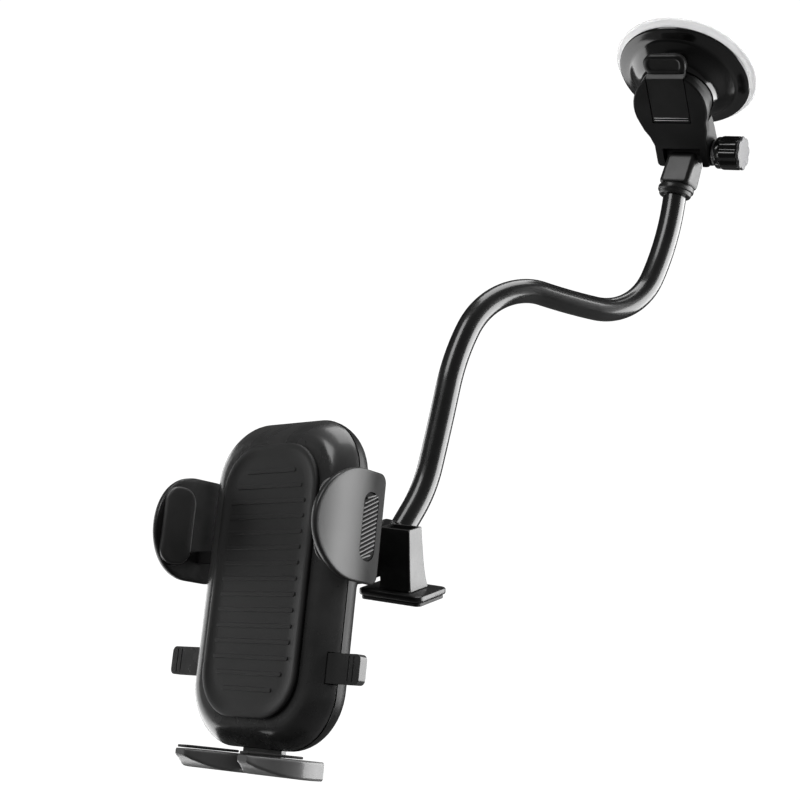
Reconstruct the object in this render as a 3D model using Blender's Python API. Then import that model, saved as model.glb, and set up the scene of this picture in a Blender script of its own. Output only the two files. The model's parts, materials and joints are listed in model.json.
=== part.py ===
"""Car phone mount: lever suction cup, flexible gooseneck with a dash foot, and a clamping cradle.

The frame is metres with +Z up.  The origin is the centre of the suction cup's sealing face,
where the mount meets the windscreen.  The cradle faces -Y and its clamp arms slide along X.
Shape numbers are millimetres; solid() and frame() turn them into metres.
"""
import math

import bmesh
import bpy
from mathutils import Matrix, Vector

MM = 0.001
GAP = 0.3                          # clearance kept between neighbouring pieces
STEPS = 24                         # sides of a turned piece
TOOL_TURN = 0.13                   # radians a cutting tool is turned, so that no corners coincide

# Suction head, in its own frame: Z points at the glass, X along the clamp bolt.
GLASS_NORMAL = (0.035, 0.505, 0.862)
BOLT_AXIS = (0.965, 0.205, -0.160)
CUP_RADIUS = 27.5
DOME_RADIUS = 25.4
DOME_END_Z = -12.8                 # where the dome's neck meets the bracket
BRACKET_ORIGIN = (0.0, -1.2, -21.5)
BRACKET_TILT = 17.5                # degrees between the bracket plate and the glass
HEAD_RADIUS = 14.6
FORK_HALF_WIDTH = 10.7
FORK_SLOT = 7.6                    # half of the space between the fork's ears
LEVER_PIN_Z = 3.9                  # depth of the lever's pin below the plate's front
TAB_Y, TAB_HALF = -17.2, 4.1       # middle and half height of the lever's thumb tab
FORK_SHIFT = 1.9                   # the fork stands beside the head's middle
PIVOT = (FORK_SHIFT, 21.5, 5.5)    # in the bracket's frame
PIVOT_TILT = 39.0                  # degrees from the bracket to the neck fitting

# Gooseneck: one curve in an upright plane, as stretches of (length, heading at its end).
NECK_AZIMUTH = 21.5                # degrees the plane is turned from +Y towards +X
NECK_START_HEADING = -80.0
NECK_STRETCHES = (
    (34.5, -62.5), (31.0, 7.0), (23.0, 12.0), (6.5, -4.5), (30.0, -61.5), (22.5, -76.5),
    (29.0, -75.0), (17.0, -57.0), (17.0, -57.0), (10.0, -5.0), (17.5, -5.0),
)
SLEEVE_RADIUS = 4.4
SLEEVE_BORE = 2.6
CORE_RADIUS = 2.3
BEND_STATIONS = (20.0, 50.0, 80.0, 108.0, 136.0, 164.0)
KNUCKLE_CUP = 4.75                 # radius of the hollow end that takes the next ball end
FITTING_LENGTH = 18.0              # pivot to the lower face of the upper collar
SLEEVE_LEAD = 3.4                  # sleeve length held inside the upper collar
SLEEVE_END = 13.9                  # sleeve end to the centre of the ball
CLIP_STATION = 200.0               # where the dash foot's clip holds the neck

# Ball joint behind the cradle.
BALL_RADIUS = 9.0
LINER_RADII = (9.3, 10.4)
SOCKET_RADIUS = 10.75

# Dash foot: a hollow tower on a plate, tilted to stand on a dashboard.
FOOT_X = (0.975, 0.184, -0.121)
FOOT_Z = (0.152, -0.166, 0.974)
FOOT_OFFSET = (8.5, -9.2, -1.4)    # from the clip to the tower, which stands before the neck
TOWER_TOP_Z = 0.7                  # above the middle of the clip
TOWER_HEIGHT = 20.6
TOWER_SHIFT = -1.2                 # the tower's middle, beside the neck
TOWER_TOP = (6.0, 4.1)             # half sizes
TOWER_BASE = (7.5, 5.7)
PLATE_HALF = (12.5, 9.2)

# Cradle, in its own frame: Y = 0 is the front pad's face, Z = 0 is the foot pads' top.
CRADLE_LEAN = 8.26                 # degrees the cradle leans back
BALL_IN_CRADLE = (0.0, 26.4, 60.2)
BODY_HALF_WIDTH = 32.5
BODY_BOTTOM, BODY_TOP = 1.0, 107.0
BODY_CORNER = 19.0
PARTING_Y = 8.7
PHONE_HALF_WIDTH = 35.75
BAR_Y = (5.2, 8.2)                 # the layer that holds the arm bars, the latch and the buttons
ARM_Z = 71.0                       # height of the arms' middle and of the pinion
PINION_TEETH = 12
PINION_RADIUS = 6.0
TOOTH_PITCH = 2 * math.pi * PINION_RADIUS / PINION_TEETH


# ---------------------------------------------------------------- helpers
def clear_scene():
    for thing in list(bpy.data.objects):
        bpy.data.objects.remove(thing, do_unlink=True)


def material(name, colour, roughness, metallic=0.0, alpha=1.0):
    made = bpy.data.materials.new(name)
    made.use_nodes = True
    shader = made.node_tree.nodes["Principled BSDF"]
    shader.inputs["Base Color"].default_value = (*colour, 1.0)
    shader.inputs["Roughness"].default_value = roughness
    shader.inputs["Metallic"].default_value = metallic
    shader.inputs["Alpha"].default_value = alpha
    return made


def frame(name, place=(0, 0, 0), turn=(0, 0, 0), parent=None):
    """An empty at a place in millimetres, turned by degrees, that holds pieces."""
    empty = bpy.data.objects.new(name, None)
    bpy.context.scene.collection.objects.link(empty)
    empty.parent = parent
    empty.location = Vector(place) * MM
    empty.rotation_euler = [math.radians(angle) for angle in turn]
    bpy.context.view_layer.update()
    return empty


def facing(x_axis, z_axis):
    """Rotation in degrees whose Z is z_axis and whose X lies as near x_axis as it can."""
    up = Vector(z_axis).normalized()
    side = Vector(x_axis)
    side = (side - up * side.dot(up)).normalized()
    turn = Matrix((side, up.cross(side), up)).transposed().to_euler()
    return [math.degrees(angle) for angle in turn]


def solid(name, points, faces, paint, holder, smooth=40.0):
    """A closed body from points in millimetres, in the frame of its holder."""
    mesh = bpy.data.meshes.new(name)
    mesh.from_pydata([Vector(point) * MM for point in points], [], faces)
    body = bmesh.new()
    body.from_mesh(mesh)
    bmesh.ops.recalc_face_normals(body, faces=body.faces)
    body.to_mesh(mesh)
    body.free()
    mesh.shade_smooth()
    mesh.set_sharp_from_angle(angle=math.radians(smooth))
    made = bpy.data.objects.new(name, mesh)
    bpy.context.scene.collection.objects.link(made)
    made.parent = holder
    if paint:
        mesh.materials.append(paint)
    return made


def loft(name, rings, paint, holder, looped=False, smooth=40.0):
    """Skin over rings of equal length: capped at both ends, or looped back on itself."""
    count = len(rings[0])
    points = [point for ring in rings for point in ring]
    faces = []
    for row in range(len(rings) if looped else len(rings) - 1):
        here = row * count
        there = (row + 1) % len(rings) * count
        for i in range(count):
            j = (i + 1) % count
            faces.append((here + i, here + j, there + j, there + i))
    if not looped:
        faces.append(tuple(range(count)))
        faces.append(tuple(range(len(points) - count, len(points))))
    return solid(name, points, faces, paint, holder, smooth)


def turned(name, profile, paint, holder, steps=STEPS, axis="Z", centre=(0, 0, 0), ripple=None):
    """Turn a profile of (radius, height) about an axis.  ripple is (waves, depth, least radius)."""
    points, faces, rows = [], [], []
    first = TOOL_TURN if name.startswith("cut_") else 0.0
    for radius, height in profile:
        if radius == 0:
            rows.append([len(points)])
            points.append((0, 0, height))
            continue
        row = []
        for i in range(steps):
            angle = first + 2 * math.pi * i / steps
            size = radius
            if ripple and radius > ripple[2]:
                size -= ripple[1] * (0.5 + 0.5 * math.cos(ripple[0] * angle)) ** 2
            row.append(len(points))
            points.append((size * math.cos(angle), size * math.sin(angle), height))
        rows.append(row)
    on_axis = len(rows[0]) == 1
    pairs = list(zip(rows, rows[1:])) if on_axis else list(zip(rows, rows[1:] + rows[:1]))
    for low, high in pairs:
        for i in range(steps):
            j = (i + 1) % steps
            face = [low[i % len(low)], low[j % len(low)], high[j % len(high)], high[i % len(high)]]
            faces.append(tuple(dict.fromkeys(face)))
    swap = {"Z": lambda p: p, "X": lambda p: (p[2], p[0], p[1]), "Y": lambda p: (p[1], p[2], p[0])}
    placed = [Vector(swap[axis](point)) + Vector(centre) for point in points]
    return solid(name, placed, faces, paint, holder)


def prism(name, outline, low, high, paint, holder, along="Z", smooth=40.0):
    """Extrude an outline: (x, y) along Z, (y, z) along X or (x, z) along Y."""
    place = {
        "Z": lambda p, d: (p[0], p[1], d),
        "X": lambda p, d: (d, p[0], p[1]),
        "Y": lambda p, d: (p[0], d, p[1]),
    }[along]
    rings = [[place(point, depth) for point in outline] for depth in (low, high)]
    return loft(name, rings, paint, holder, smooth=smooth)


def box(name, low, high, paint, holder):
    outline = [(low[0], low[1]), (high[0], low[1]), (high[0], high[1]), (low[0], high[1])]
    return prism(name, outline, low[2], high[2], paint, holder)


def arc(centre, radius, start, end, count):
    """Points on an arc, with angles in degrees."""
    found = []
    for i in range(count + 1):
        angle = math.radians(start + (end - start) * i / count)
        found.append((centre[0] + radius * math.cos(angle), centre[1] + radius * math.sin(angle)))
    return found


def rounded(half_x, half_y, radius, centre=(0, 0), count=4):
    """A rounded rectangle's outline."""
    outline = []
    for quarter, (sx, sy) in enumerate(((1, 1), (-1, 1), (-1, -1), (1, -1))):
        middle = (centre[0] + sx * (half_x - radius), centre[1] + sy * (half_y - radius))
        outline += arc(middle, radius, 90 * quarter, 90 * quarter + 90, count)
    return outline


def combine(target, tool, operation):
    """Cut a tool from a target, or join it on, and hide the tool."""
    step = target.modifiers.new(operation.lower() + "_" + tool.name, "BOOLEAN")
    step.operation = operation
    step.solver = "EXACT"
    step.object = tool
    tool.hide_render = True
    tool.display_type = "WIRE"
    return target


def cut(target, *tools):
    for tool in tools:
        combine(target, tool, "DIFFERENCE")
    return target


def fuse(target, *tools):
    for tool in tools:
        combine(target, tool, "UNION")
    return target


def rod(name, radius, low, high, paint, holder, axis="Z", centre=(0, 0, 0), steps=16):
    """A plain round bar with a small chamfer on both ends."""
    edge = min(0.3, radius / 4)
    profile = [(0, low), (radius - edge, low), (radius, low + edge)]
    profile += [(radius, high - edge), (radius - edge, high), (0, high)]
    return turned(name, profile, paint, holder, steps, axis, centre)


def coil(name, radius, wire, low, high, turns, paint, holder, axis="Z", centre=(0, 0, 0)):
    """A helical spring along an axis."""
    around, sides = 8, 5
    rings = []
    count = int(turns * around)
    for i in range(count + 1):
        angle = 2 * math.pi * i / around
        height = low + wire + (high - low - 2 * wire) * i / count
        ring = []
        for k in range(sides):
            spin = 2 * math.pi * k / sides
            size = radius + wire * math.cos(spin)
            point = (size * math.cos(angle), size * math.sin(angle), height + wire * math.sin(spin))
            if axis == "X":
                point = (point[2], point[0], point[1])
            ring.append(tuple(Vector(point) + Vector(centre)))
        rings.append(ring)
    return loft(name, rings, paint, holder)


# ---------------------------------------------------------------- suction head
def build_cup(head, paint):
    r = CUP_RADIUS
    profile = [(0, 0), (r - 0.5, 0), (r, -0.5), (r, -1.0), (r - 0.8, -1.5), (24.2, -2.1)]
    profile += [(10, -2.5), (0, -2.5)]
    turned("suction_cup", profile, paint["gel"], head, steps=36)


def build_dome(head, paint):
    r = DOME_RADIUS
    outer = [(r - 0.6, -2.7), (r, -3.3), (r - 0.3, -4.0), (21.2, -5.0), (20.2, -5.6), (18.6, -7.6)]
    outer += [(16.2, -9.8), (14.6, -11.4), (14.1, DOME_END_Z)]
    inner = [(2.6, DOME_END_Z), (2.6, -11.0), (12.2, -11.0), (14.6, -9.2), (17.0, -7.0)]
    inner += [(19.2, -4.4), (23.4, -3.4), (23.6, -2.7)]
    dome = turned("suction_dome", outer + inner, paint["gloss_black"], head, steps=36)
    holes = [rod(f"cut_dome_screw_{n}", 1.4, -14, -10, None, head, centre=(x, 0, 0), steps=12)
             for n, x in ((1, -9.8), (2, 9.8))]
    cut(dome, *holes)
    for n, x in ((1, -9.8), (2, 9.8)):
        profile = [(0, -17.0), (1.1, -17.0), (1.1, -10.7), (1.8, -10.7), (1.8, -9.7), (0, -9.7)]
        turned(f"dome_screw_{n}", profile, paint["steel"], head, 12, centre=(x, 0, 0))


def bracket_outline():
    """Keyhole plate: a round head that narrows to the width of the fork."""
    right = arc((0, 0), HEAD_RADIUS, -90, 24, 13)
    w = FORK_HALF_WIDTH
    right += [(12.6, 9.4), (11.3, 12.4), (w, 16.0), (w, 23.4)]
    right += arc((w - 1.6, 23.4), 1.6, 30, 90, 2)
    left = [(-x, y) for x, y in reversed(right) if x > 0.01]
    outline = []
    for x, y in right + left:
        outline.append((x + FORK_SHIFT * min(1.0, max(0.0, (y - 6.0) / 10.0)), y))
    return outline


def lever_pocket():
    """Side view (y, z) of the hollow that holds the lever and lets its heel swing."""
    lifted_pin = (0.2, LEVER_PIN_Z + 0.6)
    outline = [(-19, -1), (5.95, -1), (5.95, 0.1)]
    outline += arc(lifted_pin, 7.3, -37, 30, 7)
    outline += [(6.2, 9.4), (3.2, 9.4), (2.2, 7.9), (-2.6, 7.9)]
    outline += [(-3.3, 6.6), (-3.6, 4.0), (-3.4, 2.6), (-11.2, 2.6), (-13.0, 4.5), (-19, 6.0)]
    return outline


def build_bracket(head, bracket_frame, paint):
    plate = prism("bracket", bracket_outline(), 0.0, 3.6, paint["black"], bracket_frame)
    bevel = plate.modifiers.new("edge", "BEVEL")
    bevel.width = 0.5 * MM
    bevel.segments = 1
    bevel.limit_method = "ANGLE"
    bevel.angle_limit = math.radians(60)
    slope = math.tan(math.radians(BRACKET_TILT))
    low, high = [], []
    for x, y in arc((0, 0), 13.7, 4, 352, 29):
        low.append((x, y, DOME_END_Z - GAP))
        plane = BRACKET_ORIGIN[2] - slope * (y - BRACKET_ORIGIN[1])
        high.append((x, y, plane + 2.0))
    neck = loft("join_neck", [low, high], None, head)
    y, z = PIVOT[1:]
    cheek = [(8.0, 2.0), (7.0, 8.4), (12.0, 9.6)] + arc((y, z), 5.0, 100, -60, 7) + [(20.0, 1.2)]
    cheeks = [prism(f"join_cheek_{n}", cheek, low_x, high_x, None, bracket_frame, along="X")
              for n, low_x, high_x in (
                  ("right", FORK_SHIFT + FORK_SLOT, FORK_SHIFT + FORK_HALF_WIDTH - 0.02),
                  ("left", FORK_SHIFT - FORK_HALF_WIDTH + 0.02, FORK_SHIFT - FORK_SLOT))]
    fuse(plate, neck, *cheeks)
    pocket = prism("cut_lever_pocket", lever_pocket(), -7.7, 7.7, None, bracket_frame, along="X")
    slot = box("cut_fork_slot", (FORK_SHIFT - FORK_SLOT, 16.9, -2), (FORK_SHIFT + FORK_SLOT, 40, 16),
               None, bracket_frame)
    bore = rod("cut_fork_bore", 2.3, -20, 20, None, bracket_frame, "X", PIVOT, 16)
    nut = turned("cut_nut_pocket", [(0, -20), (3.9, -20), (3.9, -8.3), (0, -8.3)], None,
                 bracket_frame, 6, "X", PIVOT)
    shaft = rod("cut_rod_hole", 2.5, -24, -10, None, head)
    screws = [rod(f"cut_bracket_screw_{n}", 1.4, -17.4, -10, None, head, centre=(x, 0, 0), steps=12)
              for n, x in ((1, -9.8), (2, 9.8))]
    cut(plate, pocket, slot, bore, nut, shaft, *screws)


def build_draw_rod(head, paint):
    pin_z = BRACKET_ORIGIN[2] + LEVER_PIN_Z * math.cos(math.radians(BRACKET_TILT))
    profile = [(0, -5.8), (8.6, -5.8), (9.0, -6.2), (9.0, -6.8), (8.6, -7.2), (2.0, -7.2)]
    profile += [(2.0, pin_z + 1.9), (0, pin_z + 1.9)]
    shaft = turned("draw_rod", profile, paint["steel"], head, 16)
    eye = turned("join_rod_eye", [(1.5, -1.75), (2.3, -1.75), (2.3, 1.75), (1.5, 1.75)], None, head, 18, "X",
                 (0, 0, pin_z))
    fuse(shaft, eye)
    coil("rod_spring", 4.6, 0.4, -10.7, -7.5, 2, paint["steel"], head)


def build_lever(lever_frame, paint):
    """The lever's frame is on its pin: Y runs to the fork, Z to the glass."""
    front = 0.1 - LEVER_PIN_Z
    side = [(5.6, front), (5.6, front + 1.2), (3.2, -2.0), (1.9, -0.2), (1.7, 1.2)]
    side += arc((0, 0), 2.7, 55, 180, 6)
    side += [(-2.8, -1.6), (-11.6, -1.6), (-13.0, -0.2), (-14.8, -0.2), (-14.8, -1.6)]
    side += [(-14.2, -1.6), (-13.2, front + 0.6), (-12.6, front)]
    lever = prism("suction_lever", side, -7.3, 7.3, paint["black"], lever_frame, along="X")
    tab = rounded(8.4, TAB_HALF, TAB_HALF - 0.2, (0, TAB_Y), 5)
    rings = []
    for height, shrink in ((-2.5, 0.7), (-2.0, 0.0), (-0.2, 0.0), (0.3, 0.6)):
        share = (TAB_HALF - shrink) / TAB_HALF
        rings.append([(x * (8.4 - shrink) / 8.4, TAB_Y + (y - TAB_Y) * share, height) for x, y in tab])
    thumb = loft("join_thumb_tab", rings, None, lever_frame)
    slot = box("cut_eye_slot", (-2.4, -3.5, -2.7), (2.4, 5, 5), None, lever_frame)
    bore = rod("cut_lever_bore", 1.5, -9, 9, None, lever_frame, "X", steps=16)
    cut(fuse(lever, thumb), slot, bore)
    rod("lever_pin", 1.2, -7.0, 7.0, paint["steel"], lever_frame, "X", steps=16)


def build_clamp(pivot_frame, paint):
    """The bolt, nut, washer, knob and cap lie on the fork's pivot, along X."""
    rod("clamp_bolt", 2.0, -10.5, 20.0, paint["steel"], pivot_frame, "X", steps=16)
    nut = turned("clamp_nut", [(0, -10.9), (3.5, -10.9), (3.5, -8.6), (0, -8.6)], paint["steel"],
                 pivot_frame, 6, "X")
    cut(nut, rod("cut_nut_bore", 2.3, -14, -6, None, pivot_frame, "X", steps=16))
    turned("clamp_washer", [(2.4, 11.0), (4.8, 11.0), (4.8, 11.8), (2.4, 11.8)], paint["steel"],
           pivot_frame, 24, "X")
    flutes = (8, 0.8, 6.1)
    knob = [(0, 20.3), (2.3, 20.3), (2.3, 12.1), (5.6, 12.1), (6.0, 12.5), (6.0, 14.2)]
    knob += [(6.4, 14.6), (6.4, 21.2), (0, 21.2)]
    turned("clamp_knob", knob, paint["gloss_black"], pivot_frame, 32, "X", ripple=flutes)
    cap = [(0, 21.5), (6.3, 21.5), (6.3, 22.1), (5.9, 22.5), (0, 22.5)]
    turned("knob_cap", cap, paint["silver"], pivot_frame, 32, "X", ripple=(8, 0.8, 5.7))


# ---------------------------------------------------------------- gooseneck
def build_fitting(fitting_frame, paint):
    """Barrel on the fork's pivot with a square stem below it, along -Z."""
    stem_sizes = ((-1.0, 4.6, 3.6), (-4.2, 5.8, 5.2), (-12.9, 6.1, 5.6), (-14.0, 5.5, 5.0))
    rings = []
    for height, half_x, half_y in stem_sizes:
        outline = rounded(half_x, half_y, min(half_x, half_y) * 0.55)
        lean = FORK_SHIFT * height / FITTING_LENGTH
        rings.append([(x + lean, y, height) for x, y in outline])
    stem = loft("pivot_fitting", rings, paint["black"], fitting_frame, smooth=50)
    barrel = rod("join_barrel", 4.0, -FORK_SLOT + GAP, FORK_SLOT - GAP, None, fitting_frame, "X",
                 steps=24)
    bore = rod("cut_barrel_bore", 2.3, -12, 12, None, fitting_frame, "X", steps=16)
    below = (-FORK_SHIFT, 0, 0)
    seat = rod("cut_core_seat", 3.0, -20, -10, None, fitting_frame, centre=below)
    cut(fuse(stem, barrel), bore, seat)
    ring = [(5.0, -14.3), (6.4, -14.3), (6.8, -14.7), (6.8, -17.2), (6.2, -18.0), (5.0, -18.0)]
    turned("upper_collar", ring, paint["black"], fitting_frame, 24, centre=below)


def neck_path(step=0.5):
    """Centres and headings along the gooseneck, from the collar to the ball."""
    x = z = travelled = 0.0
    heading = math.radians(NECK_START_HEADING)
    path = [(0.0, x, z, heading)]
    for length, end_heading in NECK_STRETCHES:
        end_heading = math.radians(end_heading)
        count = round(length / step)
        start = heading
        for i in range(count):
            middle = start + (end_heading - start) * (i + 0.5) / count
            x += length / count * math.cos(middle)
            z += length / count * math.sin(middle)
            heading = start + (end_heading - start) * (i + 1) / count
            travelled += length / count
            path.append((travelled, x, z, heading))
    return path


NECK_PATH = neck_path()
NECK_LENGTH = NECK_PATH[-1][0]


def on_neck(station):
    """Centre, direction along the neck and the neck's normal at a station, in its plane."""
    if station <= 0:
        before, share = 0, station / (NECK_PATH[1][0] - NECK_PATH[0][0])
    else:
        before = max(i for i, row in enumerate(NECK_PATH[:-1]) if row[0] <= station)
        share = (station - NECK_PATH[before][0]) / (NECK_PATH[before + 1][0] - NECK_PATH[before][0])
    first, second = NECK_PATH[before], NECK_PATH[before + 1]
    x = first[1] + (second[1] - first[1]) * share
    z = first[2] + (second[2] - first[2]) * share
    heading = first[3] + (second[3] - first[3]) * max(share, 0.0)
    ahead = Vector((math.cos(heading), 0, math.sin(heading)))
    return Vector((x, 0, z)), ahead, Vector((-ahead.z, 0, ahead.x))


def ring_about(centre, ahead, normal, radius, steps):
    side = ahead.cross(normal)
    ring = []
    for i in range(steps):
        angle = 2 * math.pi * i / steps
        ring.append(centre + radius * (math.cos(angle) * normal + math.sin(angle) * side))
    return ring


def cap_rings(station, radius, bore, steps, origin):
    """Rings over a sphere centred on a bend, from the sleeve's wall in to its bore."""
    centre, ahead, normal = on_neck(station)
    widest = math.asin(min(1.0, SLEEVE_RADIUS / radius))
    narrowest = math.asin(bore / radius)
    rings = []
    for i in range(4):
        angle = widest + (narrowest - widest) * i / 3
        middle = centre + ahead * radius * math.cos(angle) - origin
        rings.append(ring_about(middle, ahead, normal, radius * math.sin(angle), steps))
    return rings


def stations_between(start, end, spacing=7.0):
    count = max(1, round((end - start) / spacing))
    return [start + (end - start) * i / count for i in range(count + 1)]


def build_neck(neck_frame, bend_frames, paint):
    """Sleeve and core of each neck link; a ball end of one sleeve sits in the next one's cup."""
    steps, core_steps = 12, 6
    starts = (-SLEEVE_LEAD,) + BEND_STATIONS
    ends = BEND_STATIONS + (NECK_LENGTH - SLEEVE_END,)
    for link, (start, end) in enumerate(zip(starts, ends)):
        holder = bend_frames[link - 1] if link else neck_frame
        origin = on_neck(starts[link])[0] if link else Vector()
        rim = math.sqrt(KNUCKLE_CUP ** 2 - SLEEVE_RADIUS ** 2)
        low = start + rim if link else start
        walls = stations_between(low, end)
        outer, inner = [], []
        for station in walls:
            centre, ahead, normal = on_neck(station)
            outer.append(ring_about(centre - origin, ahead, normal, SLEEVE_RADIUS, steps))
        last = link == len(BEND_STATIONS)
        mouth = [] if last else cap_rings(end, SLEEVE_RADIUS, SLEEVE_BORE, steps, origin)[1:]
        cup = cap_rings(start, KNUCKLE_CUP, SLEEVE_BORE, steps, origin)[1:] if link else []
        bore_low = start + math.sqrt(KNUCKLE_CUP ** 2 - SLEEVE_BORE ** 2) if link else start
        for station in stations_between(bore_low, end):
            centre, ahead, normal = on_neck(station)
            inner.append(ring_about(centre - origin, ahead, normal, SLEEVE_BORE, steps))
        inner = inner[1:] if link else inner
        rings = outer + mouth + inner[::-1] + cup[::-1]
        loft(f"neck_sleeve_{link}", rings, paint["rubber"], holder, looped=True)
        core = []
        core_low = start + 5.4 if link else start - 2.5
        core_high = end - 0.6 if last else end + 2.8
        for station in stations_between(core_low, core_high):
            centre, ahead, normal = on_neck(station)
            core.append(ring_about(centre - origin, ahead, normal, CORE_RADIUS, core_steps))
        loft(f"neck_core_{link}", core, paint["steel"], holder)


def build_ball(ball_frame, stud_frame, paint):
    """The stud's frame has its Z along the neck, away from the cradle."""
    r = BALL_RADIUS
    ball = [(0, -r)] + [(y, -x) for x, y in arc((0, 0), r, 15, 165, 10)]
    ball += [(2.3, math.sqrt(r * r - 2.3 ** 2)), (2.3, -2.0), (0, -2.0)]
    turned("joint_ball", ball, paint["black"], stud_frame, 20)
    stud = [(0, -1.7), (2.0, -1.7), (2.0, 9.3), (3.2, 9.5), (3.2, 11.8), (5.2, 12.4), (5.6, 12.8)]
    stud += [(5.6, 16.4), (5.3, 16.7), (5.0, 16.7), (5.0, 13.5), (0, 13.5)]
    turned("ball_stud", stud, paint["black"], stud_frame, 20)
    low, high = LINER_RADII
    shell = [(y, -x) for x, y in arc((0, 0), high, 30, 116, 6)]
    shell += [(y, -x) for x, y in arc((0, 0), low, 116, 30, 6)]
    turned("ball_liner", shell, paint["nylon"], ball_frame, 20, "Y")
    nut = [(13.0, -6.4), (14.6, -6.4), (15.0, -6.0), (15.0, 4.2), (13.4, 6.0), (9.7, 6.0)]
    nut += [(9.35, 5.4), (10.2, 3.6), (10.75, 1.0), (13.0, 0.9)]
    turned("ring_nut", nut, paint["black"], ball_frame, 36, "Y", ripple=(12, 0.6, 14.5))


# ---------------------------------------------------------------- dash foot
def neck_channel(neck_frame, clip_frame, radius, slide, turn):
    """A bent bar along the neck's lower end, seen from a foot that has slid and turned."""
    axis = clip_frame.matrix_world
    move = Matrix.Rotation(math.radians(-turn), 4, "Z") @ Matrix.Translation((0, 0, -slide * MM))
    back = neck_frame.matrix_world.inverted() @ axis @ move @ axis.inverted() @ neck_frame.matrix_world
    rings = []
    for station in stations_between(CLIP_STATION - 8, NECK_LENGTH - 8, 3.0):
        centre, ahead, normal = on_neck(station)
        ring = ring_about(centre, ahead, normal, radius, 20)
        rings.append([(back @ (point * MM)) / MM for point in ring])
    return loft(f"cut_channel_{slide:.0f}_{turn:.0f}", rings, None, neck_frame)


def build_foot(neck_frame, clip_frame, tower_frame, paint):
    """Tower before the neck, with a ring on its back round the clip that grips the neck."""
    clip = [(4.7, -6.5), (5.2, -6.5), (5.2, -2.0), (4.7, -2.0)]
    turned("foot_clip", clip, paint["rubber"], clip_frame, 24)
    rings = []
    stretch = ((0.0, 0.0), (-2.0, 0.16), (-14.0, 0.62), (-18.0, 0.8), (GAP - TOWER_HEIGHT, 1.0))
    for height, share in stretch:
        half_x = TOWER_TOP[0] + (TOWER_BASE[0] - TOWER_TOP[0]) * share
        half_y = TOWER_TOP[1] + (TOWER_BASE[1] - TOWER_TOP[1]) * share
        outline = rounded(half_x, half_y, 0.7, count=2)
        rings.append([(x + TOWER_SHIFT, y, TOWER_TOP_Z + height) for x, y in outline])
    tower = loft("foot_tower", rings, paint["black"], tower_frame)
    grip = turned("join_grip_ring", [(5.0, -7.0), (7.2, -7.0), (7.2, -1.5), (5.0, -1.5)], None,
                  clip_frame, 24)
    top = prism("cut_tower_top", rounded(TOWER_TOP[0] - 1.1, TOWER_TOP[1] - 1.1, 0.5, (TOWER_SHIFT, 0), 2),
                TOWER_TOP_Z - 3.5, TOWER_TOP_Z + 2, None, tower_frame)
    bore = rod("cut_grip_bore", 5.5, -30, 30, None, clip_frame, steps=32)
    channels = [neck_channel(neck_frame, clip_frame, 4.9, slide, turn)
                for slide, turn in ((0.0, 0.0), (-2.0, 0.0), (2.0, 0.0))]
    cut(fuse(tower, grip), bore, top, *channels)
    low = TOWER_TOP_Z - TOWER_HEIGHT
    middle = (TOWER_SHIFT + 0.8, 0)
    plate = rounded(*PLATE_HALF, 2.6, middle, 4)
    rings = [[(x * s, y * s, low - h) for x, y in plate]
             for h, s in ((0.0, 0.985), (0.2, 1.0), (1.8, 1.0), (2.1, 0.985))]
    loft("foot_plate", rings, paint["black"], tower_frame)
    pad = rounded(PLATE_HALF[0] - 0.8, PLATE_HALF[1] - 0.8, 2.0, middle, 4)
    prism("foot_pad", pad, low - 2.4 - 1.2, low - 2.4, paint["rubber"], tower_frame)


# ---------------------------------------------------------------- cradle
def body_outline(inset):
    """The cradle body's outline (x, z), with slightly bowed sides, drawn in by an inset."""
    half, radius = BODY_HALF_WIDTH - inset, BODY_CORNER - inset * 0.8
    low, high = BODY_BOTTOM + inset, BODY_TOP - inset
    middle = (low + high) / 2
    outline = []
    for x, z in rounded(half - 0.8, (high - low) / 2, radius, (0, middle), 5):
        bow = 0.8 * (1 - ((z - middle) / (high - middle)) ** 2)
        outline.append((x + math.copysign(bow, x) if abs(x) > 3 else x, z))
    return outline


def shell(name, levels, paint, holder):
    """A pan: levels of (y, inset) down the outside and back up the inside."""
    rings = [[(x, y, z) for x, z in body_outline(inset)] for y, inset in levels]
    return loft(name, rings, paint, holder, smooth=28)


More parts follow.
